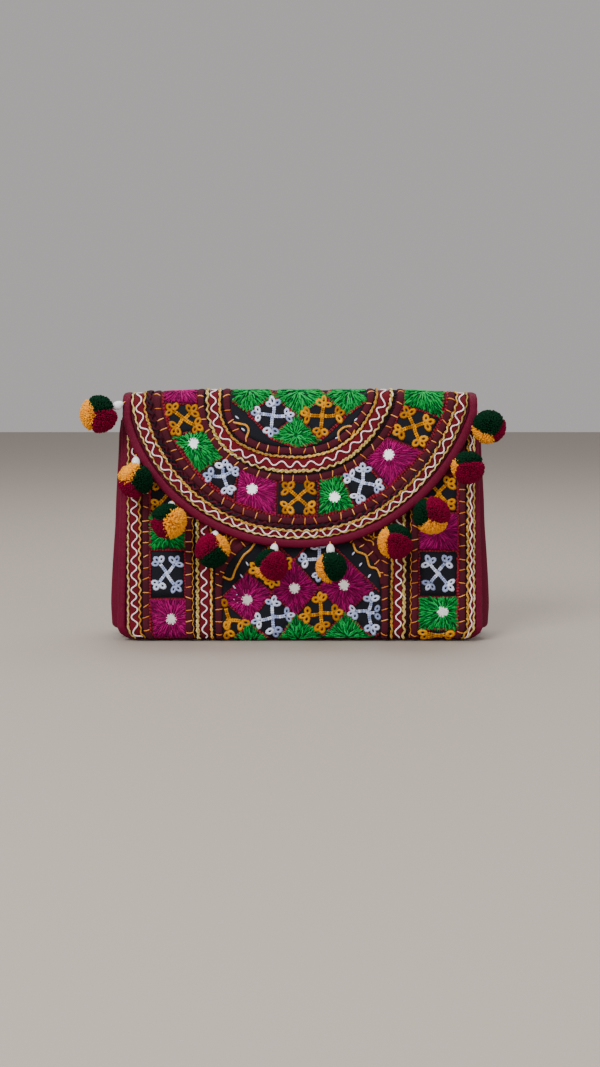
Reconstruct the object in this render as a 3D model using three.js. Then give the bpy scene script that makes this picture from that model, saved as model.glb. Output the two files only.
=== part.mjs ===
// An embroidered clutch bag with a rounded flap, satin gussets and ten pompoms on beads.
// Millimetres. X runs along the width, the front faces -Y and Z is up.
// The origin is the middle of the flat underside.
import * as THREE from "three";

// The strip of padded cloth that makes the front, the base, the back and the flap
const BAG_HEIGHT = 166;
const BASE_DEPTH = 50;
const TOP_DEPTH = 22;
const CLOTH = 2.4;
const BASE_BEND = 9;
const FOLD_BEND = 7;
const PANEL_HALF_WIDTH = 116;
const PANEL_TAPER = 4;
const MOUTH_DROP = 14;
const SEAM_DROP = 16;
const BELLY = 5;
const CORNER_TUCK = 8.5;
const TUCK_RUN = 15;
const END_DROOP = 0.02;

// The flap's rounded front
const FLAP_HALF_WIDTH = 111.2;
const FLAP_DROP = 95.2;
const FLAP_ROUND = 2.2;
const FLAP_FALL_LEFT = 1.68;
const FLAP_FALL_RIGHT = 1.42;
const FLAP_SIDE = 0.985;

// Satin binding and gussets
const BINDING_WIDTH = 5.6;
const BINDING_THICK = 4.4;
const BINDING_RECESS = 0.2;
const SATIN = 1.4;
const SEAM_ROOM = 0.17;
const GUSSET_BULGE = 8.2;
const GUSSET_DROP = 16;

// Trimmings
const EDGE_STEP = 0.5;
const SNAP_DIAMETER = 14;
const SNAP_THICK = 1.3;
const SNAP_PLACE = 0.458;
const BEAD_DIAMETER = 5.6;
const BEAD_LENGTH = 8.2;
const POMPOM_DIAMETER = 26;
const POMPOM_HEAD = 0.8;
const LOCK_VARIATION = 0.08;
const LOCK_TURN = 2.4;
const MIRROR_DIAMETER = 7.8;
const MIRROR_THICK = 0.8;

// The gap that neighbouring pieces keep
const CLEAR = 0.3;

// The gap between the front wall and the flap holds the snap
const FLAP_GAP = SNAP_THICK + 2 * CLEAR;

// Steps of the faceted solids
const PANEL_COLUMNS = 18;
const FRONT_ROWS = 11;
const BEND_ROWS = 4;
const BASE_ROWS = 3;
const BACK_ROWS = 10;
const FLAP_COLUMNS = 20;
const BEHIND_ROWS = 2;
const DROP_ROWS = 10;
const GUSSET_COLUMNS = 12;
const GUSSET_ROWS = 13;
const FLAP_EDGE_STEPS = 40;
const MOUTH_STEPS = 6;
const BEAD_SIDES = 10;
const BEAD_RINGS = 5;
const DISC_SIDES = 12;

// How far the gusset stands out at each share of its height, from the mouth down to the base
const GUSSET_HEIGHTS = [
  { down: 0, out: 0.45 },
  { down: 0.07, out: 0.55 },
  { down: 0.4, out: 0.7 },
  { down: 0.8, out: 1 },
  { down: 0.93, out: 0.85 },
  { down: 1, out: 0.15 },
];

// The gusset's two folds and the valley between them, from its front edge to its back edge
const GUSSET_FOLDS = [
  { across: 0, out: 0 },
  { across: 0.195, out: 1 },
  { across: 0.5, out: 0.25 },
  { across: 0.8, out: 1 },
  { across: 1, out: 0 },
];

// The pompoms, from the flap's upper left corner round to its upper right one.
// edge is the share of the way round, up a share of the flap's drop above that place, out how far
// the bead lies outside the binding as a share of its diameter, swing the direction from bead to
// pompom in degrees below +X, reach the share of their distance that lies in the bag's plane,
// size a share of the diameter.
const POMPOMS = [
  { edge: 0, up: 0.105, out: 0.32, swing: 155, reach: 0.94, size: 0.95 },
  { edge: 0.136, up: 0, out: 0.32, swing: 88, reach: 0.82, size: 0.91 },
  { edge: 0.249, up: 0, out: 0.39, swing: 97, reach: 0.63, size: 0.91 },
  { edge: 0.345, up: 0, out: 0.46, swing: 98, reach: 0.63, size: 0.88 },
  { edge: 0.454, up: 0, out: 0.05, swing: 101, reach: 0.75, size: 0.86 },
  { edge: 0.554, up: 0, out: 0.21, swing: 87, reach: 0.82, size: 0.81 },
  { edge: 0.652, up: 0, out: 0.54, swing: 35, reach: 0.51, size: 0.92 },
  { edge: 0.732, up: 0, out: 0.32, swing: 44, reach: 0.5, size: 0.97 },
  { edge: 0.834, up: 0, out: 0.32, swing: 18, reach: 0.43, size: 0.85 },
  { edge: 0.99, up: 0, out: 0.39, swing: 62, reach: 0.54, size: 0.87 },
];

// Mirrors: across is a share of the panel's half width, height a share of the bag's height
const FRONT_MIRRORS = [
  { across: -0.735, height: 0.094 },
  { across: 0.815, height: 0.124 },
  { across: -0.303, height: 0.172 },
  { across: -0.031, height: 0.218 },
  { across: 0.251, height: 0.23 },
];
const FLAP_MIRRORS = [
  { across: -0.604, height: 0.793 },
  { across: -0.271, height: 0.611 },
  { across: 0.195, height: 0.58 },
  { across: 0.502, height: 0.746 },
];
const BACK_MIRRORS = [
  { across: -0.77, height: 0.25 },
  { across: 0.77, height: 0.25 },
  { across: 0, height: 0.48 },
  { across: -0.77, height: 0.7 },
  { across: 0.77, height: 0.7 },
  { across: 0, height: 0.8 },
];

const lerp = THREE.MathUtils.lerp;

// The value of a column of a table at a place between its rows, eased from row to row.
function tableValue(rows, key, column, place) {
  const last = rows.length - 1;
  let k = 0;
  while (k < last - 1 && place > rows[k + 1][key]) k += 1;
  const from = rows[k];
  const to = rows[k + 1];
  const share = THREE.MathUtils.smoothstep(place, from[key], to[key]);
  return lerp(from[column], to[column], share);
}

// A path in the YZ plane of straight runs joined by round bends, walked by distance.
function bentPath(corners, radii) {
  const pieces = [];
  let length = 0;
  const add = (piece) => {
    pieces.push({ ...piece, start: length });
    length += piece.length;
  };
  let from = corners[0];
  corners.slice(1).forEach((corner, k) => {
    const next = corners[k + 2];
    const along = corner.clone().sub(from).normalize();
    if (!next) {
      add({ from, along, length: from.distanceTo(corner) });
      return;
    }
    const onward = next.clone().sub(corner).normalize();
    const turn = Math.acos(along.dot(onward));
    const cut = radii[k] * Math.tan(turn / 2);
    const bendStart = corner.clone().addScaledVector(along, -cut);
    add({ from, along, length: from.distanceTo(bendStart) });
    add({ from: bendStart, along, radius: radii[k], length: radii[k] * turn });
    from = corner.clone().addScaledVector(onward, cut);
  });
  const at = (s) => {
    const piece = pieces.findLast((p) => p.start <= s) ?? pieces[0];
    const walked = s - piece.start;
    const out = new THREE.Vector2(piece.along.y, -piece.along.x);
    if (!piece.radius) {
      return { point: piece.from.clone().addScaledVector(piece.along, walked), out };
    }
    const angle = walked / piece.radius;
    const centre = piece.from.clone().addScaledVector(out, -piece.radius);
    out.rotateAround(new THREE.Vector2(), angle);
    return { point: centre.addScaledVector(out, piece.radius), out };
  };
  return { at, length, starts: pieces.map((p) => p.start) };
}

// The strip's middle surface from the front wall's upper edge to the flap's tip
const half = CLOTH / 2;
const frontFoot = new THREE.Vector2(-BASE_DEPTH / 2 + half, half);
const backFoot = new THREE.Vector2(BASE_DEPTH / 2 - half, half);
const foldBack = new THREE.Vector2(TOP_DEPTH / 2 - half, BAG_HEIGHT - half);
const foldFront = new THREE.Vector2(-TOP_DEPTH / 2 + half, BAG_HEIGHT - half);
const flapFoot = frontFoot.clone().add(new THREE.Vector2(-CLOTH - FLAP_GAP, 0));
const rise = foldFront.clone().sub(flapFoot).normalize();
const mouthEdge = frontFoot
  .clone()
  .addScaledVector(rise, (BAG_HEIGHT - half - MOUTH_DROP) / rise.y);
const strip = bentPath(
  [mouthEdge, frontFoot, backFoot, foldBack, foldFront, flapFoot],
  [BASE_BEND, BASE_BEND, FOLD_BEND, FOLD_BEND],
);
const [, frontBend, baseRun, backBend, backRun, foldBend, foldRun, topBend, dropRun] =
  strip.starts;
const flapTop = (topBend + dropRun) / 2;

// The distance along the strip at which a run reaches a height.
function stripAtHeight(from, to, height) {
  let low = from;
  let high = to;
  const rising = strip.at(to).point.y > strip.at(from).point.y;
  for (let k = 0; k < 40; k += 1) {
    const middle = (low + high) / 2;
    if (strip.at(middle).point.y < height === rising) low = middle;
    else high = middle;
  }
  return low;
}

const seam = stripAtHeight(backRun, foldBend, BAG_HEIGHT - SEAM_DROP);

// The bag is a little lower towards its ends: the share of its height that is left there.
function drooped(x) {
  return 1 - END_DROOP * Math.min(Math.abs(x) / PANEL_HALF_WIDTH, 1) ** 4;
}

// A point of the strip with its belly, lifted outwards from the middle surface.
function onStrip(x, s, lift = 0) {
  const { point, out } = strip.at(s);
  const upright = (point.y - BASE_BEND) / (BAG_HEIGHT - BASE_BEND - FOLD_BEND);
  const swell = Math.sin(Math.PI * THREE.MathUtils.clamp(upright, 0, 1));
  const middle = Math.max(0, 1 - (x / PANEL_HALF_WIDTH) ** 2);
  const away = lift + BELLY * swell * middle;
  return new THREE.Vector3(x, point.x + out.x * away, (point.y + out.y * away) * drooped(x));
}

// The strip's outward direction at a place.
function stripNormal(x, s) {
  const step = 0.05;
  const along = onStrip(x, s + step).sub(onStrip(x, s - step));
  const across = onStrip(x + step, s).sub(onStrip(x - step, s));
  return along.cross(across).normalize();
}

// The panel's half width, less at the mouth and tucked in round the lower corners and the base.
function panelHalf(s) {
  const taper = (PANEL_TAPER * strip.at(s).point.y) / BAG_HEIGHT;
  const fromBase = Math.max(baseRun - s, s - backBend, 0);
  const share = 1 - THREE.MathUtils.smoothstep(fromBase, 0, TUCK_RUN);
  return PANEL_HALF_WIDTH - taper - CORNER_TUCK * share;
}

// How far the flap's cloth drops below the fold at a place across it.
function flapDrop(x) {
  const fall = x < 0 ? FLAP_FALL_LEFT : FLAP_FALL_RIGHT;
  const share = (FLAP_SIDE * Math.abs(x)) / FLAP_HALF_WIDTH;
  return FLAP_DROP * (1 - share ** FLAP_ROUND) ** (1 / fall);
}

// A closed mesh from its points and its triangles.
function solidMesh(name, points, faces, material) {
  const geometry = new THREE.BufferGeometry().setFromPoints(points);
  geometry.setIndex(faces);
  geometry.computeVertexNormals();
  const mesh = new THREE.Mesh(geometry, material);
  mesh.name = name;
  return mesh;
}

// A cloth wall over a grid of places, as thick as asked and closed along its rim.
function clothWall(name, columns, rows, placeAt, thick, material, turned = false) {
  const points = [];
  for (const side of [0.5, -0.5]) {
    for (let j = 0; j <= rows; j += 1) {
      for (let i = 0; i <= columns; i += 1) {
        const { point, normal } = placeAt(i, j);
        points.push(point.clone().addScaledVector(normal, side * thick));
      }
    }
  }
  const layer = (columns + 1) * (rows + 1);
  const index = (i, j, inner) => inner * layer + j * (columns + 1) + i;
  const faces = [];
  const quad = (a, b, c, d) => {
    if (turned) faces.push(a, b, c, a, c, d);
    else faces.push(a, c, b, a, d, c);
  };
  for (let j = 0; j < rows; j += 1) {
    for (let i = 0; i < columns; i += 1) {
      quad(index(i, j, 0), index(i + 1, j, 0), index(i + 1, j + 1, 0), index(i, j + 1, 0));
      quad(index(i, j, 1), index(i, j + 1, 1), index(i + 1, j + 1, 1), index(i + 1, j, 1));
    }
  }
  for (let i = 0; i < columns; i += 1) {
    quad(index(i, 0, 0), index(i, 0, 1), index(i + 1, 0, 1), index(i + 1, 0, 0));
    quad(index(i, rows, 0), index(i + 1, rows, 0), index(i + 1, rows, 1), index(i, rows, 1));
  }
  for (let j = 0; j < rows; j += 1) {
    quad(index(0, j, 0), index(0, j + 1, 0), index(0, j + 1, 1), index(0, j, 1));
    quad(
      index(columns, j, 0),
      index(columns, j, 1),
      index(columns, j + 1, 1),
      index(columns, j + 1, 0),
    );
  }
  return solidMesh(name, points, faces, material);
}

// The rounded section of the binding, as shares of its half width and half thickness
const BINDING_SECTION = [
  { wide: 1, thick: 0.35 },
  { wide: 0.6, thick: 1 },
  { wide: -0.6, thick: 1 },
  { wide: -1, thick: 0.35 },
  { wide: -1, thick: -0.35 },
  { wide: -0.6, thick: -1 },
  { wide: 0.6, thick: -1 },
  { wide: 1, thick: -0.35 },
];

// A rounded bar of binding that follows a route of places on the strip.
function bindingBar(name, route, lift, material) {
  const centres = route.map(([x, s]) => onStrip(x, s, lift));
  const points = [];
  centres.forEach((centre, k) => {
    const before = centres[Math.max(k - 1, 0)];
    const after = centres[Math.min(k + 1, centres.length - 1)];
    const ahead = after.clone().sub(before).normalize();
    const out = stripNormal(...route[k]);
    out.addScaledVector(ahead, -out.dot(ahead)).normalize();
    const side = ahead.clone().cross(out);
    BINDING_SECTION.forEach(({ wide, thick }) => {
      const place = centre.clone().addScaledVector(side, (wide * BINDING_WIDTH) / 2);
      points.push(place.addScaledVector(out, (thick * BINDING_THICK) / 2));
    });
  });
  const n = BINDING_SECTION.length;
  const faces = [];
  for (let k = 0; k < centres.length - 1; k += 1) {
    for (let j = 0; j < n; j += 1) {
      const a = k * n + j;
      const b = k * n + ((j + 1) % n);
      faces.push(a, b + n, b, a, a + n, b + n);
    }
  }
  const last = (centres.length - 1) * n;
  for (let j = 1; j < n - 1; j += 1) {
    faces.push(0, j, j + 1);
    faces.push(last, last + j + 1, last + j);
  }
  return solidMesh(name, points, faces, material);
}

// A route on the strip moved sideways, to its left as it runs.
function besideRoute(route, distance) {
  return route.map(([x, s], k) => {
    const before = route[Math.max(k - 1, 0)];
    const after = route[Math.min(k + 1, route.length - 1)];
    const ahead = new THREE.Vector2(after[0] - before[0], after[1] - before[1]).normalize();
    return [x - ahead.y * distance, s + ahead.x * distance];
  });
}

const steps = (count) => Array.from({ length: count + 1 }, (_, k) => k / count);

// Distances along the strip from bound to bound, with so many steps in each stretch.
function stretches(bounds, counts) {
  const places = counts.flatMap((count, k) =>
    steps(count).slice(0, -1).map((share) => lerp(bounds[k], bounds[k + 1], share)),
  );
  return [...places, bounds.at(-1)];
}

const bodyPlaces = stretches(
  [0, frontBend, baseRun, backBend, backRun, seam],
  [FRONT_ROWS, BEND_ROWS, BASE_ROWS, BEND_ROWS, BACK_ROWS],
);
const foldPlaces = stretches(
  [seam + CLEAR, foldBend, foldRun, topBend, dropRun],
  [BEHIND_ROWS, BEND_ROWS, 1, BEND_ROWS],
);

// Materials
const embroidery = new THREE.MeshStandardMaterial({ color: 0x6b1a2c, roughness: 0.9 });
const satin = new THREE.MeshStandardMaterial({ color: 0x6e1832, roughness: 0.45 });
const yarn = new THREE.MeshStandardMaterial({ color: 0x7d1526, roughness: 0.95 });
const whiteBead = new THREE.MeshStandardMaterial({ color: 0xf1ede4, roughness: 0.25 });
const glassMirror = new THREE.MeshStandardMaterial({
  color: 0xc9ccd0,
  roughness: 0.08,
  metalness: 1,
});
const snapSteel = new THREE.MeshStandardMaterial({
  color: 0xa7a39b,
  roughness: 0.35,
  metalness: 1,
});

const bag = new THREE.Group();

// The front wall, base and back wall in one cloth.
function bodyPanel() {
  const rows = bodyPlaces.length - 1;
  const placeAt = (i, j) => {
    const s = bodyPlaces[j];
    const x = panelHalf(s) * ((2 * i) / PANEL_COLUMNS - 1);
    return { point: onStrip(x, s), normal: stripNormal(x, s) };
  };
  return clothWall("body_panel", PANEL_COLUMNS, rows, placeAt, CLOTH, embroidery);
}

// The flap over the fold and down the front in a broad U.
function flap() {
  const foldRows = foldPlaces.length - 1;
  const placeAt = (i, j) => {
    const x = FLAP_HALF_WIDTH * Math.sin(Math.PI * (i / FLAP_COLUMNS - 0.5));
    const down = (j - foldRows) / DROP_ROWS;
    const s = j < foldRows ? foldPlaces[j] : lerp(dropRun, flapTop + flapDrop(x), down);
    return { point: onStrip(x, s), normal: stripNormal(x, s) };
  };
  return clothWall("flap", FLAP_COLUMNS, foldRows + DROP_ROWS, placeAt, CLOTH, embroidery);
}

const bodyLift = -(BINDING_THICK - CLOTH) / 2 - BINDING_RECESS;
const flapLift = (BINDING_THICK - CLOTH) / 2;
const besideCloth = CLEAR + BINDING_WIDTH / 2;

// The binding along one side edge of the front, base and back.
function sideBinding(name, side) {
  const route = bodyPlaces.map((s) => [side * panelHalf(s), s]);
  return bindingBar(name, besideRoute(route, -side * besideCloth), bodyLift, satin);
}

// The binding on the front wall's upper edge, between the side bindings.
function mouthBinding() {
  const route = steps(MOUTH_STEPS).map((share) => [
    lerp(-panelHalf(0), panelHalf(0), share),
    -besideCloth,
  ]);
  return bindingBar("mouth_binding", route, bodyLift, satin);
}

// The flap's cloth edge from the back seam on the left, round the U, to the seam on the right.
function flapEdge() {
  const corner = flapTop + flapDrop(FLAP_HALF_WIDTH);
  const sideRun = [...foldPlaces, corner];
  const curve = steps(FLAP_EDGE_STEPS).slice(1, -1).map((share) => {
    const x = -FLAP_HALF_WIDTH * Math.cos(Math.PI * share);
    return [x, flapTop + flapDrop(x)];
  });
  return [
    ...sideRun.map((s) => [-FLAP_HALF_WIDTH, s]),
    ...curve,
    ...sideRun.reverse().map((s) => [FLAP_HALF_WIDTH, s]),
  ];
}

function flapBinding() {
  return bindingBar("flap_binding", besideRoute(flapEdge(), besideCloth), flapLift, satin);
}

// One side of satin, bulging in two folds between the front and back bindings.
function gusset(name, side) {
  const inward = bodyLift - BINDING_THICK / 2 - CLEAR - SATIN / 2 - SEAM_ROOM;
  const top = BAG_HEIGHT - GUSSET_DROP;
  const frontStart = stripAtHeight(0, frontBend, top);
  const backStart = stripAtHeight(backRun, foldBend, top);
  const rim = (s) => {
    const { point, out } = strip.at(s);
    return point.clone().addScaledVector(out, inward);
  };
  const surface = (across, down) => {
    const frontS = lerp(frontStart, baseRun, down);
    const backS = lerp(backStart, backBend, down);
    const place = rim(frontS).lerp(rim(backS), across);
    const swell =
      tableValue(GUSSET_HEIGHTS, "down", "out", down) *
      tableValue(GUSSET_FOLDS, "across", "out", across);
    const x = panelHalf(frontS) + besideCloth + GUSSET_BULGE * swell;
    return new THREE.Vector3(side * x, place.x, place.y * drooped(x));
  };
  const placeAt = (i, j) => {
    const across = i / GUSSET_COLUMNS;
    const down = j / GUSSET_ROWS;
    const step = 0.004;
    const alongDepth = surface(Math.min(across + step, 1), down).sub(
      surface(Math.max(across - step, 0), down),
    );
    const alongHeight = surface(across, Math.min(down + step, 1)).sub(
      surface(across, Math.max(down - step, 0)),
    );
    const normal = alongDepth.cross(alongHeight).normalize();
    return { point: surface(across, down), normal: normal.multiplyScalar(-1) };
  };
  return clothWall(name, GUSSET_COLUMNS, GUSSET_ROWS, placeAt, SATIN, satin);
}

// A disc that lies on the strip: a mirror or the snap.
function disc(name, diameter, thick, x, s, lift, material) {
  const geometry = new THREE.CylinderGeometry(diameter / 2, diameter / 2, thick, DISC_SIDES);
  const mesh = new THREE.Mesh(geometry, material);
  mesh.name = name;
  const normal = stripNormal(x, s);
  mesh.quaternion.setFromUnitVectors(new THREE.Vector3(0, 1, 0), normal);
  mesh.position.copy(onStrip(x, s)).addScaledVector(normal, lift);
  return mesh;
}

// A yarn ball: each face of a small ball is drawn out into one pointed lock.
function pompomMesh(name, radius, towardsBead) {
  const ball = new THREE.IcosahedronGeometry(1, 1).getAttribute("position");
  const corners = [];
  for (let k = 0; k < ball.count; k += 1) {
    corners.push(new THREE.Vector3().fromBufferAttribute(ball, k));
  }
  const tipOf = (k) =>
    new THREE.Vector3()
      .add(corners[k])
      .add(corners[k + 1])
      .add(corners[k + 2])
      .normalize();
  const turn = new THREE.Quaternion().setFromUnitVectors(tipOf(0), towardsBead);
  const points = [];
  for (let k = 0; k < corners.length; k += 3) {
    const shorter = (LOCK_VARIATION * (1 + Math.sin(LOCK_TURN * k))) / 2;
    const tip = tipOf(k).multiplyScalar(radius * (k === 0 ? POMPOM_HEAD : 1 - shorter));
    const base = [0, 1, 2].map((j) =>
      corners[k + j].clone().multiplyScalar(radius * POMPOM_HEAD),
    );
    base.forEach((corner, j) => points.push(corner, base[(j + 1) % 3].clone(), tip.clone()));
  }
  points.forEach((point) => point.applyQuaternion(turn));
  return solidMesh(name, points, points.map((_, k) => k), yarn);
}

// How far a bead stands in front of the strip's middle so that it clears the flap's binding.
function beadLift(radius, beyond) {
  const reaches = BINDING_SECTION.map(({ wide, thick }) => {
    const aside = beyond + ((1 - wide) * BINDING_WIDTH) / 2;
    const room = (radius + CLEAR) ** 2 - aside ** 2;
    return (thick * BINDING_THICK) / 2 + Math.sqrt(Math.max(room, 0));
  });
  return flapLift + Math.max(...reaches);
}

// Each pompom with the bead that joins it to the flap's edge.
function addPompoms() {
  const beadRadius = BEAD_DIAMETER / 2;
  const drawnOut = (BEAD_LENGTH - BEAD_DIAMETER) / 2;
  POMPOMS.forEach(({ edge, up, out, swing, reach, size }, k) => {
    const beyond = out * BEAD_DIAMETER;
    const lift = beadLift(beadRadius, beyond);
    const wallToBead = half + FLAP_GAP + lift;
    const radius = (size * POMPOM_DIAMETER) / 2;
    const x = -FLAP_HALF_WIDTH * Math.cos(Math.PI * edge);
    const near = [x - EDGE_STEP, x, x + EDGE_STEP].map((place) => {
      const held = THREE.MathUtils.clamp(place, -FLAP_HALF_WIDTH, FLAP_HALF_WIDTH);
      return [held, flapTop + flapDrop(held) - up * FLAP_DROP];
    });
    const outward = besideCloth + BINDING_WIDTH / 2 + beyond;
    const beadTop = onStrip(...besideRoute(near, outward)[1], lift);
    const touching = radius * POMPOM_HEAD + BEAD_LENGTH - beadRadius + CLEAR;
    const offWall = radius + CLEAR - wallToBead;
    const forward = Math.max(offWall, touching * Math.sqrt(1 - reach ** 2));
    const apart = Math.sqrt(touching ** 2 - forward ** 2);
    const angle = THREE.MathUtils.degToRad(swing);
    const place = beadTop.clone();
    place.x += Math.cos(angle) * apart;
    place.y -= forward;
    place.z -= Math.sin(angle) * apart;
    const towardsBead = beadTop.clone().sub(place).normalize();
    const bead = new THREE.Mesh(
      new THREE.SphereGeometry(beadRadius, BEAD_SIDES, BEAD_RINGS),
      whiteBead,
    );
    bead.name = "bead_" + (k + 1);
    bead.scale.set(1, BEAD_LENGTH / BEAD_DIAMETER, 1);
    bead.quaternion.setFromUnitVectors(new THREE.Vector3(0, 1, 0), towardsBead);
    bead.position.copy(beadTop).addScaledVector(towardsBead, -drawnOut);
    bag.add(bead);
    const pompom = pompomMesh("pompom_" + (k + 1), radius, towardsBead);
    pompom.position.copy(place);
    bag.add(pompom);
  });
}

// The mirrors of one face of the bag.
function addMirrors(face, rows, from, to) {
  rows.forEach(({ across, height }, k) => {
    const x = across * PANEL_HALF_WIDTH;
    const s = stripAtHeight(from, to, height * BAG_HEIGHT);
    const name = "mirror_" + face + "_" + (k + 1);
    const lift = half + CLEAR + MIRROR_THICK / 2;
    bag.add(disc(name, MIRROR_DIAMETER, MIRROR_THICK, x, s, lift, glassMirror));
  });
}

bag.add(bodyPanel());
bag.add(flap());
bag.add(sideBinding("binding_left", -1));
bag.add(sideBinding("binding_right", 1));
bag.add(mouthBinding());
bag.add(flapBinding());
bag.add(gusset("gusset_left", -1));
bag.add(gusset("gusset_right", 1));
const snapPlace = stripAtHeight(0, frontBend, SNAP_PLACE * BAG_HEIGHT);
const snapLift = half + CLEAR + SNAP_THICK / 2;
bag.add(disc("snap", SNAP_DIAMETER, SNAP_THICK, 0, snapPlace, snapLift, snapSteel));
addPompoms();
addMirrors("front", FRONT_MIRRORS, 0, frontBend);
addMirrors("flap", FLAP_MIRRORS, dropRun, strip.length);
addMirrors("back", BACK_MIRRORS, backRun, seam);

export default bag;
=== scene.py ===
"""An embroidered clutch bag: padded cloth with mirror work, satin sides and yarn pompoms."""

import math

import bpy
import numpy as np
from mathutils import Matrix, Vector


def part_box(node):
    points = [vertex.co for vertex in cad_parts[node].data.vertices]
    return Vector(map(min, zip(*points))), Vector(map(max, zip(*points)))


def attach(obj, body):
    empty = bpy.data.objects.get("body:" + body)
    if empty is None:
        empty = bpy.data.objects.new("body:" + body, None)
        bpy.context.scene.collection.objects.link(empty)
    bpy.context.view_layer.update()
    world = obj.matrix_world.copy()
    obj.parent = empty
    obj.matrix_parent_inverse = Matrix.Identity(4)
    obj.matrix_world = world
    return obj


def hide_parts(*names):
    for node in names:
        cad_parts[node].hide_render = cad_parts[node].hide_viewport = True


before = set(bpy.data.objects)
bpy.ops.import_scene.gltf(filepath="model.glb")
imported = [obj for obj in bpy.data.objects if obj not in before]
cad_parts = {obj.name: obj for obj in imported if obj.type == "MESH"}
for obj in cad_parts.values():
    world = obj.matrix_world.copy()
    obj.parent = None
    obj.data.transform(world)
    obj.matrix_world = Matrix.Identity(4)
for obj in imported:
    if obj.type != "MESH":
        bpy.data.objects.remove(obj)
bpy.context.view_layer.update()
bpy.ops.object.select_all(action="DESELECT")
rng = np.random.default_rng(7)

MM = 0.001

# Sizes of the padded strip, in millimetres as in the part's source
BAG_HEIGHT = 166
BASE_DEPTH = 50
TOP_DEPTH = 22
CLOTH = 2.4
BASE_BEND = 9
FOLD_BEND = 7
PANEL_HALF_WIDTH = 116
PANEL_TAPER = 4
MOUTH_DROP = 14
SEAM_DROP = 16
BELLY = 5
CORNER_TUCK = 8.5
TUCK_RUN = 15
END_DROOP = 0.02
FLAP_HALF_WIDTH = 111.2
FLAP_DROP = 95.2
FLAP_ROUND = 2.2
FLAP_FALL = {-1: 1.68, 1: 1.42}
FLAP_SIDE = 0.985
FLAP_GAP = 1.9
BINDING_WIDTH = 5.6
BINDING_THICK = 4.4
BINDING_RECESS = 0.2
SATIN = 1.4
SEAM_ROOM = 0.17
GUSSET_BULGE = 8.2
GUSSET_DROP = 16
BEAD_WIDTH = 5.6
BEAD_LENGTH = 8.2
CLEAR = 0.3

# Where the embroidery lies: the cloth's face and the patches on it, above the strip's middle
FACE = CLOTH / 2
PATCH = 0.3

GUSSET_HEIGHTS = ((0, 0.45), (0.07, 0.55), (0.4, 0.7), (0.8, 1), (0.93, 0.85), (1, 0.15))
GUSSET_FOLDS = ((0, 0), (0.195, 1), (0.5, 0.25), (0.8, 1), (1, 0))

# Lines of the embroidery from the edge inwards: their places across the front at its left and
# right, and their insets from the flap's edge at its left side, its right side and its tip
FRONT_PLACE = {-1: 0, 1: 1}
FLAP_INSET = {-1: 2, 1: 3}
TIP_INSET = 4
LINES = {
    "cream": (-113.9, 115.4, 0.8, 0.7, 0.7),
    "wave": (-109.9, 113.4, 4.4, 4.1, 2.9),
    "yellow": (-106.2, 111.3, 8.5, 7.7, 5.2),
    "rope": (-104.6, 109.9, 11.5, 9.0, 7.7),
    "cord": (-102.2, 107.5, 16.7, 11.0, 11.5),
    "scarlet": (-99.6, 104.8, 20.6, 13.8, 14.3),
    "square_out": (-99.3, 104.4, 21.2, 14.3, 14.8),
    "square_in": (-76.2, 78.9, 42.6, 41.0, 36.7),
    "cord_in": (-73.7, 75.9, 45.6, 44.3, 39.5),
    "squiggle": (-70.9, 73.4, 47.9, 46.9, 42.0),
    "shadow_line_in": (-69.5, 71.6, 48.2, 48.3, 42.4),
    "yellow_in": (-67.8, 68.9, 49.8, 50.7, 44.3),
    "wave_in": (-63.4, 65.2, 54.0, 55.6, 49.0),
    "gold_in": (-58.6, 60.8, 58.0, 60.3, 53.7),
    "shadow_line_core": (-56.8, 59.2, 59.6, 61.7, 55.1),
    "cord_core": (-53.9, 56.2, 62.7, 64.2, 57.6),
    "field": (-51.4, 53.7, 65.2, 66.7, 60.0),
}

# The colours a thread or cloth runs through, darkest first
THREADS = {
    "straw": ("5c5218", "b09038", "e2cd84"),
    "gold": ("70400a", "c4801a", "e6a63c"),
    "cream": ("7c6c2c", "c2a85c", "ece0ac"),
    "frost": ("606c98", "a8b6e0", "e4eaff"),
    "wave": ("c48ea4", "f4dfe2", "fffaf8"),
    "scarlet": ("520412", "80081e", "9c1230"),
    "night": ("0a0a0e", "151318", "2b1a24"),
    "cord": ("2a0612", "440c1c", "5a162a"),
    "orange": ("8c4410", "de8428", "f8b45c"),
    "leaf": ("003014", "008a36", "12b256"),
    "rose": ("40022c", "8c0054", "c0007c"),
    "star_gold": ("6a4200", "bc7800", "e09800"),
}
MATT_THREADS = ("night", "cord", "rose", "leaf", "star_gold")
PLUM = "460c1c"
SCARLET = "5e0616"
NIGHT = "12141c"
MAROON = "5e0024"
DARK_ROSE = "780448"
DARK_LEAF = "04401a"
YARN = {"orange": "ffa61a", "green": "002a16", "red": "78002c"}
# Painted shade: how dark the yarn is made below its ends, deeper inside the ball, for each colour
YARN_ROOT_SHADE = {"orange": 0.65, "green": 0.35, "red": 0.75}


def srgb(code):
    """The linear colour of a six-digit sRGB code."""
    shares = [int(code[k : k + 2], 16) / 255 for k in (0, 2, 4)]
    return tuple(c / 12.92 if c <= 0.04045 else ((c + 0.055) / 1.055) ** 2.4 for c in shares)


def darker(colour, share):
    """A colour made darker or lighter by a share."""
    return tuple(min(c * share, 1.0) for c in colour)


# The strip's middle surface


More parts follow.
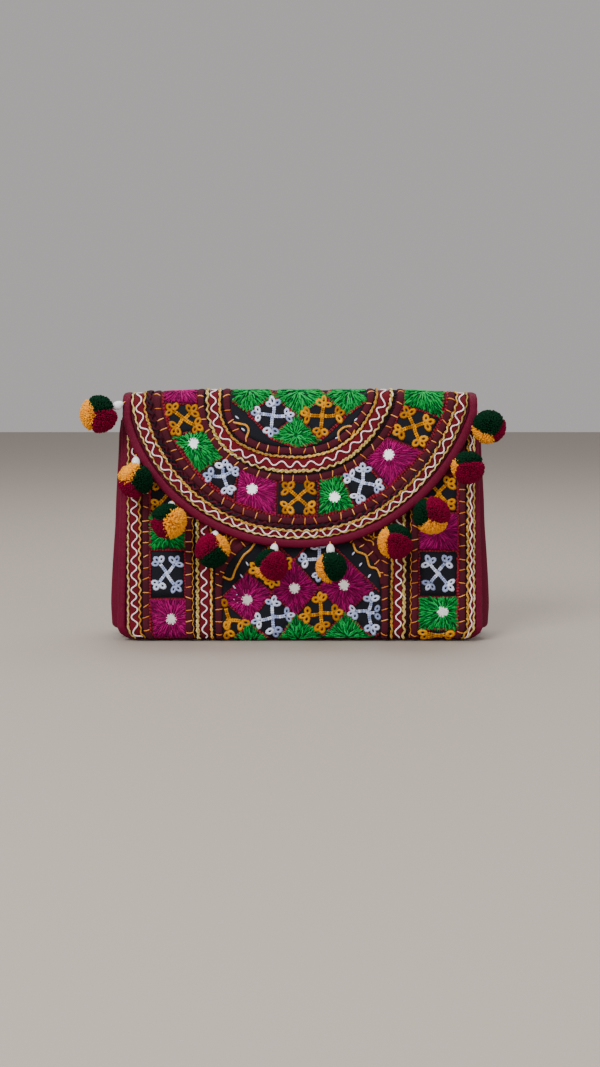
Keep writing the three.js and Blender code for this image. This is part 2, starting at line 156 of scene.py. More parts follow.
def bent_path(corners, radii):
    """Straight runs joined by round bends in the YZ plane, each with its start distance."""
    pieces = []
    length = 0.0
    start = np.array(corners[0], float)
    for k, corner in enumerate(corners[1:]):
        corner = np.array(corner, float)
        along = (corner - start) / np.linalg.norm(corner - start)
        if k + 2 == len(corners):
            pieces.append((length, start, along, 0.0))
            length += np.linalg.norm(corner - start)
            break
        onward = np.array(corners[k + 2], float) - corner
        onward /= np.linalg.norm(onward)
        turn = math.acos(along @ onward)
        cut = radii[k] * math.tan(turn / 2)
        bend_start = corner - along * cut
        pieces.append((length, start, along, 0.0))
        length += np.linalg.norm(bend_start - start)
        pieces.append((length, bend_start, along, radii[k]))
        length += radii[k] * turn
        start = corner + onward * cut
    return pieces, length


front_foot = (-BASE_DEPTH / 2 + FACE, FACE)
back_foot = (BASE_DEPTH / 2 - FACE, FACE)
fold_back = (TOP_DEPTH / 2 - FACE, BAG_HEIGHT - FACE)
fold_front = (-TOP_DEPTH / 2 + FACE, BAG_HEIGHT - FACE)
flap_foot = (front_foot[0] - CLOTH - FLAP_GAP, FACE)
rise = np.array(fold_front) - np.array(flap_foot)
rise /= np.linalg.norm(rise)
mouth_edge = np.array(front_foot) + rise * (BAG_HEIGHT - FACE - MOUTH_DROP) / rise[1]
PIECES, STRIP_LENGTH = bent_path(
    [mouth_edge, front_foot, back_foot, fold_back, fold_front, flap_foot],
    [BASE_BEND, BASE_BEND, FOLD_BEND, FOLD_BEND],
)
_, FRONT_BEND, BASE_RUN, BACK_BEND, BACK_RUN, FOLD_START, _, TOP_BEND, DROP_RUN = (
    piece[0] for piece in PIECES
)
FLAP_TOP = (TOP_BEND + DROP_RUN) / 2


def strip_at(s):
    """Points and outward directions in the YZ plane at distances along the strip."""
    s = np.asarray(s, float)
    point = np.zeros(s.shape + (2,))
    out = np.zeros(s.shape + (2,))
    ends = [piece[0] for piece in PIECES[1:]] + [np.inf]
    for k, ((start, origin, along, radius), end) in enumerate(zip(PIECES, ends)):
        here = (s < end) & ((s >= start) | (k == 0))
        walked = s[here] - start
        normal = np.array([along[1], -along[0]])
        if radius:
            angle = walked / radius
            turned = np.stack(
                [
                    normal[0] * np.cos(angle) - normal[1] * np.sin(angle),
                    normal[0] * np.sin(angle) + normal[1] * np.cos(angle),
                ],
                axis=-1,
            )
            point[here] = origin - normal * radius + turned * radius
            out[here] = turned
        else:
            point[here] = origin + walked[:, None] * along
            out[here] = normal
    return point, out


def drooped(x):
    """The share of its height that the bag keeps towards its ends."""
    return 1 - END_DROOP * np.minimum(np.abs(x) / PANEL_HALF_WIDTH, 1) ** 4


def on_strip(x, s, lift=0.0):
    """Points of the strip in metres, lifted outwards from its middle surface."""
    x, s, lift = np.broadcast_arrays(np.asarray(x, float), s, lift)
    point, out = strip_at(s)
    upright = (point[..., 1] - BASE_BEND) / (BAG_HEIGHT - BASE_BEND - FOLD_BEND)
    swell = np.sin(np.pi * np.clip(upright, 0, 1))
    away = lift + BELLY * swell * np.maximum(0, 1 - (x / PANEL_HALF_WIDTH) ** 2)
    depth = point[..., 0] + out[..., 0] * away
    height = (point[..., 1] + out[..., 1] * away) * drooped(x)
    return np.stack([x, depth, height], axis=-1) * MM


def at_height(start, end, height):
    """The distance along a straight run at which it reaches a height."""
    low = strip_at(start)[0][1]
    high = strip_at(end)[0][1]
    return start + (end - start) * (height - low) / (high - low)


SEAM = float(at_height(BACK_RUN, FOLD_START, BAG_HEIGHT - SEAM_DROP))
# How far the embroidery runs on round the lower bends
ROUND_THE_BEND = 0.95 * BASE_BEND
FRONT_END = FRONT_BEND + ROUND_THE_BEND
BACK_END = BACK_RUN - ROUND_THE_BEND


def front_s(height):
    """The distance along the strip of a height on the front, run on round the lower bend."""
    return at_height(0.0, FRONT_BEND, height)


def smooth(share):
    """A share from 0 to 1, eased at both ends."""
    share = np.clip(share, 0, 1)
    return share * share * (3 - 2 * share)


def tuck(s):
    """How far the panel's edge is drawn in round the lower corners and under the base."""
    from_base = np.maximum(np.maximum(BASE_RUN - s, s - BACK_BEND), 0)
    return CORNER_TUCK * smooth(1 - from_base / TUCK_RUN)


def panel_half(s):
    """Half the panel's width at distances along the strip."""
    height = strip_at(s)[0][..., 1]
    return PANEL_HALF_WIDTH - PANEL_TAPER * height / BAG_HEIGHT - tuck(s)


def flap_drop(x):
    """How far the flap's cloth drops below the fold at places across it."""
    x = np.asarray(x, float)
    fall = np.where(x < 0, FLAP_FALL[-1], FLAP_FALL[1])
    share = np.clip(FLAP_SIDE * np.abs(x) / FLAP_HALF_WIDTH, 0, 1)
    return FLAP_DROP * (1 - share**FLAP_ROUND) ** (1 / fall)


# Meshes


def add_object(name, points, faces, material, tints=None):
    """A smooth mesh object from points in metres. tints is a value or colour for each point."""
    mesh = bpy.data.meshes.new(name)
    mesh.from_pydata(np.asarray(points).reshape(-1, 3).tolist(), [], [list(f) for f in faces])
    mesh.validate()
    mesh.shade_smooth()
    if tints is not None:
        tints = np.asarray(tints, float)
        kind = "FLOAT" if tints.ndim == 1 else "FLOAT_COLOR"
        layer = mesh.attributes.new("tint", kind, "POINT")
        field = "value" if tints.ndim == 1 else "color"
        layer.data.foreach_set(field, tints.ravel())
    mesh.materials.append(material)
    obj = bpy.data.objects.new(name, mesh)
    bpy.context.scene.collection.objects.link(obj)
    return obj


def keep(obj, slot, *nodes):
    """The piece rides on the bag and may stand for nodes, which are hidden; slot is not used."""
    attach(obj, "root")
    if nodes:
        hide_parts(*nodes)
    return obj


def primitive(add, **sizes):
    """A primitive with its place, turn and scale applied."""
    add(**sizes)
    bpy.ops.object.transform_apply(location=True, rotation=True, scale=True)
    return bpy.context.object


def upper_part(obj):
    """Only the part of a shape above the cloth, with its cut closed."""
    bpy.ops.object.mode_set(mode="EDIT")
    bpy.ops.mesh.select_all(action="SELECT")
    bpy.ops.mesh.bisect(
        plane_co=(0, 0, -0.1), plane_no=(0, 0, 1), use_fill=True, clear_inner=True
    )
    bpy.ops.object.mode_set(mode="OBJECT")
    return obj


def shape_of(*objects):
    """Points and triangles of a shape that is modelled once and copied."""
    bpy.ops.object.select_all(action="DESELECT")
    for obj in objects:
        obj.select_set(True)
    bpy.context.view_layer.objects.active = objects[0]
    if len(objects) > 1:
        bpy.ops.object.join()
    obj = bpy.context.object
    mesh = obj.data
    mesh.calc_loop_triangles()
    points = np.array([v.co[:] for v in mesh.vertices])
    faces = np.array([t.vertices[:] for t in mesh.loop_triangles])
    bpy.data.objects.remove(obj)
    bpy.data.meshes.remove(mesh)
    return points, faces


def copies(shape, moved):
    """Joined copies of a shape: a list of its moved points, and its faces."""
    points, faces = shape
    shifts = (np.arange(moved.shape[0]) * len(points))[:, None, None]
    return moved.reshape(-1, 3), (faces[None] + shifts).reshape(-1, faces.shape[1])


def for_each(count, *values):
    """Columns of one value for each place, from numbers or lists of them."""
    return [np.broadcast_to(np.asarray(v, float), (count,))[:, None] for v in values]


def sewn(shape, places, wide, long, tall, lift, slope=0.0):
    """Copies of a shape laid on the strip. places has rows of x, s and the direction along."""
    places = np.asarray(places, float)
    points = shape[0]
    wide, long, tall, lift, slope = for_each(len(places), wide, long, tall, lift, slope)
    tx = places[:, 2:3]
    ts = places[:, 3:4]
    aside = points[None, :, 0] * wide
    ahead = points[None, :, 1] * long
    x = places[:, 0:1] - ts * aside + tx * ahead
    s = places[:, 1:2] + tx * aside + ts * ahead
    return copies(shape, on_strip(x, s, lift + slope * ahead + points[None, :, 2] * tall))


def walked_along(route):
    """The distance walked from a route's start to each of its points."""
    lengths = np.linalg.norm(np.diff(np.asarray(route, float), axis=0), axis=1)
    return np.concatenate([[0], np.cumsum(lengths)])


def placed(route, marks):
    """Places at distances along a route, each with its direction: x, s, tx, ts."""
    route = np.asarray(route, float)
    walked = walked_along(route)
    x = np.interp(marks, walked, route[:, 0])
    s = np.interp(marks, walked, route[:, 1])
    step = min(0.5, walked[-1] / 4)
    ahead = np.minimum(marks + step, walked[-1])
    behind = np.maximum(marks - step, 0)
    tx = np.interp(ahead, walked, route[:, 0]) - np.interp(behind, walked, route[:, 0])
    ts = np.interp(ahead, walked, route[:, 1]) - np.interp(behind, walked, route[:, 1])
    size = np.hypot(tx, ts)
    return np.stack([x, s, tx / size, ts / size], axis=-1)


def even_marks(route, spacing):
    """Evenly spaced distances along a route."""
    length = walked_along(route)[-1]
    count = max(int(round(length / spacing)), 1)
    return (np.arange(count) + 0.5) * length / count


def bar_faces(rings, sides):
    """The faces of a closed bar from rings of points."""
    faces = []
    for k in range(rings - 1):
        for j in range(sides):
            a = k * sides + j
            b = k * sides + (j + 1) % sides
            faces.append((a, b, b + sides, a + sides))
    faces.append(tuple(range(sides))[::-1])
    faces.append(tuple((rings - 1) * sides + j for j in range(sides)))
    return faces


def swept(route, marks, section, size=1.0, wide=1.0, beside=0.0, above=0.0):
    """A closed bar through marks along a route on the strip.

    section has rows of offset aside and lift. The values after it may differ from mark to mark.
    """
    places = placed(route, marks)
    section = np.asarray(section, float)
    size, wide, beside, above = for_each(len(marks), size, wide, beside, above)
    base = section[:, 1].min()
    aside = section[None, :, 0] * size * wide + beside
    lift = base + (section[None, :, 1] - base) * size + above
    x = places[:, 0:1] - places[:, 3:4] * aside
    s = places[:, 1:2] + places[:, 2:3] * aside
    return on_strip(x, s, lift).reshape(-1, 3), bar_faces(len(marks), len(section))


def slab(x, s, upper, lower):
    """Thin cloth over a grid of places on the strip, between two lifts and closed at its rim."""
    rows, columns = x.shape
    count = rows * columns
    faces = []
    for j in range(rows - 1):
        for i in range(columns - 1):
            a = j * columns + i
            quad = (a, a + 1, a + columns + 1, a + columns)
            faces.append(quad)
            faces.append(tuple(count + v for v in quad[::-1]))
    rim = list(range(columns - 1))
    rim += [columns - 1 + j * columns for j in range(rows - 1)]
    rim += [count - 1 - i for i in range(columns - 1)]
    rim += [(rows - 1 - j) * columns for j in range(rows - 1)]
    for k, a in enumerate(rim):
        b = rim[(k + 1) % len(rim)]
        faces.append((b, a, count + a, count + b))
    points = [on_strip(x, s, upper).reshape(-1, 3), on_strip(x, s, lower).reshape(-1, 3)]
    return np.concatenate(points), faces


def join(parts):
    """Several lists of points and faces as one."""
    points = []
    faces = []
    shift = 0
    for part_points, part_faces in parts:
        points.append(part_points)
        faces.extend([[int(v) + shift for v in face] for face in part_faces])
        shift += len(part_points)
    return np.concatenate(points), faces


def facing_out(obj):
    """The object's faces turned outwards."""
    bpy.ops.object.select_all(action="DESELECT")
    bpy.context.view_layer.objects.active = obj
    obj.select_set(True)
    bpy.ops.object.mode_set(mode="EDIT")
    bpy.ops.mesh.select_all(action="SELECT")
    bpy.ops.mesh.normals_make_consistent(inside=False)
    bpy.ops.object.mode_set(mode="OBJECT")
    obj.select_set(False)
    return obj


def embroidery(name, points, faces, material, tints=None):
    """A piece of the embroidery, which is sewn on the strip."""
    obj = add_object(name, points, faces, material, tints=tints)
    keep(facing_out(obj), "embroidered_cloth")


def cloth_grid(name, across, down, place, thick, material):
    """A cloth wall from a grid primitive whose points are put in place, then given its wall."""
    bpy.ops.object.select_all(action="DESELECT")
    bpy.ops.mesh.primitive_grid_add(x_subdivisions=across, y_subdivisions=down, size=2)
    obj = bpy.context.object
    obj.name = name
    obj.data.name = name
    flat = np.array([v.co[:] for v in obj.data.vertices])
    points = place((flat[:, 0] + 1) / 2, (1 - flat[:, 1]) / 2)
    obj.data.vertices.foreach_set("co", points.ravel())
    obj.data.update()
    obj.data.materials.append(material)
    wall = obj.modifiers.new("wall", "SOLIDIFY")
    wall.thickness = thick * MM
    wall.offset = 0
    bpy.ops.object.modifier_apply(modifier="wall")
    bpy.ops.object.shade_smooth_by_angle(angle=math.radians(50))
    return facing_out(obj)


# Materials


def socket_group(name, inputs):
    """A shader group that gives out a height and a mask."""
    group = bpy.data.node_groups.new(name, "ShaderNodeTree")
    for title, default in inputs.items():
        socket = group.interface.new_socket(title, in_out="INPUT", socket_type="NodeSocketFloat")
        socket.default_value = default
    for title in ("Height", "Mask"):
        group.interface.new_socket(title, in_out="OUTPUT", socket_type="NodeSocketFloat")
    return group, group.nodes.new("NodeGroupInput"), group.nodes.new("NodeGroupOutput")


def noise_in(group, scale, detail):
    """Noise over the object, its scale given by a socket."""
    coords = group.nodes.new("ShaderNodeTexCoord")
    noise = group.nodes.new("ShaderNodeTexNoise")
    noise.inputs["Detail"].default_value = detail
    group.links.new(coords.outputs["Object"], noise.inputs["Vector"])
    group.links.new(scale, noise.inputs["Scale"])
    return noise.outputs["Fac"]


def fibre_group():
    """Fine fibres as a height and soft blotches as a mask."""
    group, given, result = socket_group(
        "thread_fibres", {"Fibre Scale": 900.0, "Blotch Scale": 60.0}
    )
    fibres = noise_in(group, given.outputs["Fibre Scale"], 3)
    blotches = noise_in(group, given.outputs["Blotch Scale"], 2)
    group.links.new(fibres, result.inputs["Height"])
    group.links.new(blotches, result.inputs["Mask"])
    return group


def weave_group():
    """A plain weave: crossed fine waves as a height, and blotches as a mask."""
    group, given, result = socket_group("plain_weave", {"Threads": 1400.0, "Blotch Scale": 40.0})
    coords = group.nodes.new("ShaderNodeTexCoord")
    both = group.nodes.new("ShaderNodeMath")
    both.operation = "ADD"
    for k, direction in enumerate(("X", "Z")):
        wave = group.nodes.new("ShaderNodeTexWave")
        wave.bands_direction = direction
        wave.inputs["Distortion"].default_value = 0.6
        group.links.new(coords.outputs["Object"], wave.inputs["Vector"])
        group.links.new(given.outputs["Threads"], wave.inputs["Scale"])
        group.links.new(wave.outputs["Fac"], both.inputs[k])
    blotches = noise_in(group, given.outputs["Blotch Scale"], 4)
    group.links.new(both.outputs[0], result.inputs["Height"])
    group.links.new(blotches, result.inputs["Mask"])
    return group


FIBRES = fibre_group()
WEAVE = weave_group()


def new_material(name, roughness, sheen=0.0, metallic=0.0, coat=0.0, specular=0.25):
    """A material and its shader, with the finish set."""
    material = bpy.data.materials.new(name)
    material.use_nodes = True
    shader = material.node_tree.nodes["Principled BSDF"]
    shader.inputs["Roughness"].default_value = roughness
    shader.inputs["Specular IOR Level"].default_value = specular
    shader.inputs["Sheen Weight"].default_value = sheen
    shader.inputs["Sheen Roughness"].default_value = 0.4
    shader.inputs["Metallic"].default_value = metallic
    shader.inputs["Coat Weight"].default_value = coat
    return material, shader


def ramped(tree, factor, colours):
    """A colour that runs evenly through several, by a factor from another node."""
    ramp = tree.nodes.new("ShaderNodeValToRGB")
    stops = ramp.color_ramp.elements
    while len(stops) < len(colours):
        stops.new(0.5)
    for k, colour in enumerate(colours):
        stops[k].position = k / (len(colours) - 1)
        stops[k].color = (*colour, 1)
    tree.links.new(factor, ramp.inputs["Fac"])
    return ramp.outputs["Color"]


def grouped(tree, group, **values):
    """A node of a shader group, with its inputs set."""
    node = tree.nodes.new("ShaderNodeGroup")
    node.node_tree = group
    for title, value in values.items():
        node.inputs[title.replace("_", " ")].default_value = value
    return node


def bumped(tree, shader, height, strength, distance):
    """Fine relief from a height."""
    bump = tree.nodes.new("ShaderNodeBump")
    bump.inputs["Strength"].default_value = strength
    bump.inputs["Distance"].default_value = distance
    tree.links.new(height, bump.inputs["Height"])
    tree.links.new(bump.outputs["Normal"], shader.inputs["Normal"])


def tint_in(tree):
    """The tint that each stitch or yarn end carries."""
    tint = tree.nodes.new("ShaderNodeAttribute")
    tint.attribute_name = "tint"
    return tint


def thread_material(name, colours):
    """Embroidery thread: each stitch has its own tint, with fine fibres."""
    matt = name in MATT_THREADS
    roughness = 0.75 if matt else 0.6
    specular = 0.1 if matt else 0.3
    material, shader = new_material(name + "_thread", roughness, specular=specular)
    tree = material.node_tree
    base = ramped(tree, tint_in(tree).outputs["Fac"], [srgb(code) for code in colours])
    tree.links.new(base, shader.inputs["Base Color"])
    fibres = grouped(tree, FIBRES, Fibre_Scale=2600.0)
    bumped(tree, shader, fibres.outputs["Height"], 0.35, 0.0003)
    return material


def cloth_material(name, code, threads=1500.0, roughness=0.85, specular=0.2, contrast=0.35):
    """Woven cloth with worn blotches."""
    colour = srgb(code)
    material, shader = new_material(name, roughness, specular=specular)
    tree = material.node_tree
    weave = grouped(tree, WEAVE, Threads=threads)
    shades = [darker(colour, 1 - contrast), colour, darker(colour, 1 + contrast)]
    base = ramped(tree, weave.outputs["Mask"], shades)
    tree.links.new(base, shader.inputs["Base Color"])
    bumped(tree, shader, weave.outputs["Height"], 0.3, 0.0002)
    return material


def yarn_material():
    """Cut yarn, coloured by each tip's own tint."""
    material, shader = new_material("pompom_yarn", 0.9, specular=0.1)
    tree = material.node_tree
    tree.links.new(tint_in(tree).outputs["Color"], shader.inputs["Base Color"])
    fibres = grouped(tree, FIBRES, Fibre_Scale=2200.0)
    bumped(tree, shader, fibres.outputs["Height"], 0.3, 0.0003)
    return material


def smooth_material(name, roughness, low, high, scale, strength, **more):
    """A hard, smooth finish with faint blotches and fine scratches or waves."""
    material, shader = new_material(name, roughness, **more)
    tree = material.node_tree
    fibres = grouped(tree, FIBRES, Fibre_Scale=scale, Blotch_Scale=150.0)
    base = ramped(tree, fibres.outputs["Mask"], [srgb(low), srgb(high)])
    tree.links.new(base, shader.inputs["Base Color"])
    bumped(tree, shader, fibres.outputs["Height"], strength, 0.0003)
    return material


plum_cloth = cloth_material("plum_cotton", PLUM)
scarlet_cloth = cloth_material("scarlet_cotton", SCARLET)
night_cloth = cloth_material("black_cotton", NIGHT)
rose_cloth = cloth_material("rose_cotton", DARK_ROSE)
leaf_cloth = cloth_material("green_cotton", DARK_LEAF)
cord_cloth = cloth_material("cord_cotton", THREADS["cord"][1], threads=2200.0, contrast=0.5)
satin = cloth_material(
    "maroon_satin", MAROON, threads=2600.0, roughness=0.48, specular=0.14, contrast=0.22
)
thread = {name: thread_material(name, colours) for name, colours in THREADS.items()}
yarn = yarn_material()

# Shapes of the stitches, yarn ends and beads, each modelled once

sphere = bpy.ops.mesh.primitive_uv_sphere_add
torus = bpy.ops.mesh.primitive_torus_add
cone = bpy.ops.mesh.primitive_cone_add
ball = bpy.ops.mesh.primitive_ico_sphere_add
ALONG = (math.pi / 2, 0, 0)
LINK_LEAN = 0.28

STROKE = shape_of(primitive(sphere, segments=4, ring_count=3, rotation=ALONG))
LINK = shape_of(
    *(
        primitive(
            sphere,
            segments=5,
            ring_count=3,
            location=(side * 0.45, 0, 0),
            rotation=(math.pi / 2, 0, -side * LINK_LEAN),
            scale=(0.55, 0.55, 0.72),
        )
        for side in (-1, 1)
    )
)
RING = shape_of(
    primitive(torus, major_segments=9, minor_segments=4, major_radius=0.63, minor_radius=0.37)
)
HOOP = shape_of(
    upper_part(
        primitive(
            torus,
            major_segments=14,
            minor_segments=5,
            major_radius=1,
            minor_radius=0.13,
            rotation=ALONG,
        )
    )
)
TIP = shape_of(primitive(cone, vertices=3, radius1=1.15, radius2=0.75, depth=1))
CORE = shape_of(primitive(ball, subdivisions=3))
DROP = shape_of(primitive(sphere, segments=20, ring_count=14))


def tinted(count, size, low=0.0, high=1.0):
    """One random tint for each of several copies, given to all their points."""
    return np.repeat(rng.uniform(low, high, count), size)


def run_tints(count, size):
    """Tints that drift slowly from copy to copy along a row of stitches."""
    k = np.arange(count)
    drift = 0.5 + 0.3 * np.sin(k * 0.09 + 1.3) * np.sin(k * 0.041)
    return np.repeat(np.clip(drift + rng.uniform(-0.3, 0.3, count), 0, 1), size)


def chain_rows(routes, width=1.5, spacing=2.1, lift=FACE + 0.5):
    """Chain stitch along routes, as points, faces and tints."""
    places = np.concatenate([placed(r, even_marks(r, spacing)) for r in routes])
    count = len(places)
    jitter = rng.uniform(0.85, 1.15, count)
    stray = rng.normal(0, 0.16, count)
    places[:, 0] -= places[:, 3] * stray
    places[:, 1] += places[:, 2] * stray
    points, faces = sewn(LINK, places, width / 2 * jitter, spacing * 0.75, 0.95, lift)
    return points, faces, run_tints(count, len(LINK[0]))


# Routes of the embroidery


def line_on_front(side, line):
    """Where a line runs across the front."""
    return LINES[line][FRONT_PLACE[side]]


def line_on_flap(side, line):
    """Where a line meets the fold at a side of the flap."""
    return side * (FLAP_HALF_WIDTH - LINES[line][FLAP_INSET[side]])


def line_x(side, line, s):
    """Where a line runs across the strip, from its place on the front to that on the flap."""
    s = np.asarray(s, float)
    share = smooth((s - BASE_RUN) / (FOLD_START - BASE_RUN))
    x = line_on_front(side, line) * (1 - share) + line_on_flap(side, line) * share
    return x - side * tuck(s) * (np.abs(x) / PANEL_HALF_WIDTH) ** 4


def front_route(side, line, top=12.0):
    """A line down the front, from below the mouth round the lower bend."""
    s = np.linspace(top, FRONT_END, 60)
    return np.stack([line_x(side, line, s), s], axis=-1)


def ring_points(line, angles):
    """Points of a flap ring at angles from its tip, left negative, in radians."""
    inset = LINES[line]
    side = np.where(angles < 0, -1, 1)
    across = np.where(angles < 0, inset[FLAP_INSET[-1]], inset[FLAP_INSET[1]])
    squarer = np.where(angles < 0, np.clip((across - 38) / 16, 0, 1), 0)
    fall = np.where(angles < 0, FLAP_FALL[-1] + 0.92 * squarer, FLAP_FALL[1])
    bend = FLAP_ROUND + 0.4 * squarer
    x = side * (FLAP_HALF_WIDTH - across) * np.abs(np.sin(angles)) ** (2 / bend)
    drop = (FLAP_DROP - inset[TIP_INSET]) * np.abs(np.cos(angles)) ** (2 / fall)
    return np.stack([x, FLAP_TOP + drop], axis=-1)


def long_route(line, last=math.pi / 2):
    """A line up the back on the left, over the fold, round the flap and down the back again."""
    s = np.linspace(BACK_END, FLAP_TOP, 90)
    left = np.stack([line_x(-1, line, s), s], axis=-1)
    ring = ring_points(line, np.linspace(-math.pi / 2, last, 161))
    if last < math.pi / 2:
        return np.concatenate([left, ring[1:]])
    right = np.stack([line_x(1, line, s), s], axis=-1)
    return np.concatenate([left, ring[1:-1], right[::-1]])


def routes(line):
    """All the routes of a line."""
    return [front_route(-1, line), front_route(1, line), long_route(line)]


# The arch of cord over the front's lattice
ARCH_MIDDLE = 0.8
ARCH_FOOT = 38.0


def arch_route(half_width, height, start=math.pi, end=0.0):
    """A round arch over the front's lattice, between two angles."""
    angles = np.linspace(start, end, 90)
    x = ARCH_MIDDLE + half_width * np.cos(angles)
    return np.stack([x, front_s(ARCH_FOOT + height * np.sin(angles))], axis=-1)


# Cloth of the bag


def quilted(x, s):
    """Soft waves of the padding between the rows of stitches."""
    across = np.sin(x * 0.31 + 1.7 * np.sin(s * 0.05))
    return 0.12 * across * np.sin(s * 0.24 + 0.9 * np.sin(x * 0.06))


def panel_cloth():
    """The padded cloth of front, base and back."""
    def place(across, down):
        s = down * (SEAM + CLEAR * 0.5)
        x = panel_half(s) * (2 * across - 1)
        return on_strip(x, s, quilted(x, s))

    obj = cloth_grid("panel_cloth", 72, 150, place, CLOTH, plum_cloth)
    keep(obj, "embroidered_cloth", "body_panel")


def flap_cloth():
    """The padded flap, over the fold and down the front in a broad U."""
    fold_share = 0.34

    def place(across, down):
        x = FLAP_HALF_WIDTH * np.sin(np.pi * (across - 0.5))
        over = np.clip(down / fold_share, 0, 1)
        below = np.clip((down - fold_share) / (1 - fold_share), 0, 1)
        tip = FLAP_TOP + flap_drop(x)
        s = SEAM + CLEAR * 0.5 + (DROP_RUN - SEAM - CLEAR * 0.5) * over
        s = s + (tip - DROP_RUN) * below
        return on_strip(x, s, quilted(x, s))

    obj = cloth_grid("flap_cloth", 80, 80, place, CLOTH, plum_cloth)
    keep(obj, "embroidered_cloth", "flap")


def table_value(rows, place):
    """A table's value at places between its rows, eased from row to row."""
    starts = np.array([row[0] for row in rows])
    values = np.array([row[1] for row in rows])
    k = np.clip(np.searchsorted(starts, place, side="right") - 1, 0, len(rows) - 2)
    share = smooth((place - starts[k]) / (starts[k + 1] - starts[k]))
    return values[k] + (values[k + 1] - values[k]) * share


def gusset(name, side):
    """A satin side, which stands out in folds."""
    body_lift = -(BINDING_THICK - CLOTH) / 2 - BINDING_RECESS
    inward = body_lift - BINDING_THICK / 2 - CLEAR - SATIN / 2 - SEAM_ROOM
    beside = CLEAR + BINDING_WIDTH / 2
    top = BAG_HEIGHT - GUSSET_DROP
    front_start = at_height(0.0, FRONT_BEND, top)
    back_start = at_height(BACK_RUN, FOLD_START, top)

    def place(across, down):
        front = front_start + (BASE_RUN - front_start) * down
        back = back_start + (BACK_BEND - back_start) * down
        front_point, front_out = strip_at(front)
        back_point, back_out = strip_at(back)
        front_rim = front_point + front_out * inward
        back_rim = back_point + back_out * inward
        rim = front_rim + (back_rim - front_rim) * across[:, None]
        swell = table_value(GUSSET_HEIGHTS, down) * table_value(GUSSET_FOLDS, across)
        held = np.sin(np.pi * across) * np.sin(np.pi * np.clip(down * 1.05, 0, 1))
        pleats = 0.5 * np.sin(across * 34 + 2.2 * np.sin(down * 5.0)) * held
        x = panel_half(front) + beside + GUSSET_BULGE * swell + pleats
        return np.stack([side * x, rim[:, 0], rim[:, 1] * drooped(x)], axis=-1) * MM

    obj = cloth_grid(name + "_satin", 60, 70, place, SATIN, satin)
    keep(obj, "maroon_satin", name)


def binding_route_body(side):
    """Along a side edge of the panel."""
    s = np.linspace(0, SEAM, 180)
    beside = CLEAR + BINDING_WIDTH / 2
    return np.stack([side * (panel_half(s) + beside), s], axis=-1)


def flap_edge():
    """Round the flap's edge, from its seam at the left to that at the right."""
    corner = FLAP_TOP + float(flap_drop(FLAP_HALF_WIDTH))
    side_run = np.linspace(SEAM + CLEAR, corner, 40)
    shares = np.linspace(0, 1, 121)[1:-1]
    x = -FLAP_HALF_WIDTH * np.cos(np.pi * shares)
    curve = np.stack([x, FLAP_TOP + flap_drop(x)], axis=-1)
    left = np.stack([np.full(40, -FLAP_HALF_WIDTH), side_run], axis=-1)
    right = np.stack([np.full(40, FLAP_HALF_WIDTH), side_run[::-1]], axis=-1)
    return np.concatenate([left, curve, right])


def beside_route(route, distance):
    """A route moved aside by a distance."""
    ahead = np.gradient(route, axis=0)
    ahead /= np.linalg.norm(ahead, axis=1)[:, None]
    return route + distance * np.stack([-ahead[:, 1], ahead[:, 0]], axis=-1)


def rounded_section(width, thick, middle, points=14, power=0.7, groove=None):
    """A rounded section. groove is the place aside of a shallow seam in its face."""
    angles = np.arange(points) * 2 * math.pi / points
    aside = np.sign(np.cos(angles)) * np.abs(np.cos(angles)) ** power * width / 2
    lift = np.sign(np.sin(angles)) * np.abs(np.sin(angles)) ** power * thick / 2
    if groove is not None:
        lift = np.where(lift > 0, lift - 0.55 * np.exp(-(((aside - groove) / 0.5) ** 2)), lift)
    return np.stack([aside, middle + lift], axis=-1)


def satin_bar(name, route, lift, groove=None):
    """Satin binding, drawn in a little at each stitch."""
    marks = even_marks(route, 1.2)
    drawn_in = 1 + 0.018 * np.sin(marks * 1.6) + 0.014 * np.sin(marks * 0.61 + 1)
    section = rounded_section(BINDING_WIDTH, BINDING_THICK, lift, points=24, groove=groove)
    points, faces = swept(route, marks, section, size=drawn_in)
    obj = facing_out(add_object(name + "_satin", points, faces, satin))
    keep(obj, "maroon_satin", name)


def bindings():
    """The satin binding of all the edges."""
    body_lift = -(BINDING_THICK - CLOTH) / 2 - BINDING_RECESS
    flap_lift = (BINDING_THICK - CLOTH) / 2
    satin_bar("binding_left", binding_route_body(-1), body_lift, groove=0.9)
    satin_bar("binding_right", binding_route_body(1), body_lift, groove=-0.9)
    beside = CLEAR + BINDING_WIDTH / 2
    half = float(panel_half(np.array(0.0)))
    mouth = [(-half, -beside), (0, -beside), (half, -beside)]
    satin_bar("mouth_binding", mouth, body_lift)
    satin_bar("flap_binding", beside_route(flap_edge(), beside), flap_lift)


# Embroidery in lines


# The section of a cloth band: the offset aside as a share of its width, and the lift
BAND_SECTION = (
    (0.5, FACE - 0.2),
    (0.5, FACE + 0.25),
    (0.25, FACE + 0.42),
    (-0.25, FACE + 0.42),
    (-0.5, FACE + 0.25),
    (-0.5, FACE - 0.2),
)
THREAD_SIDES = 6

# Twisted threads beside the cords: name, line, colours, width and sway
TWISTED_THREADS = (
    ("cream_threads", "cream", ("cream", "straw"), 0.8, 0.4),
    ("straw_threads", "yellow_in", ("straw", "cream"), 1.25, 0.7),
    ("gold_threads", "gold_in", ("gold", "straw"), 1.05, 0.5),
    ("yellow_threads", "yellow", ("gold", "straw"), 1.0, 0.6),
)
# The outer white wave's pitch and height on the front's left and right and round the flap
OUTER_WAVES = ((10.4, 2.0), (9.0, 0.8), (10.6, 2.0))


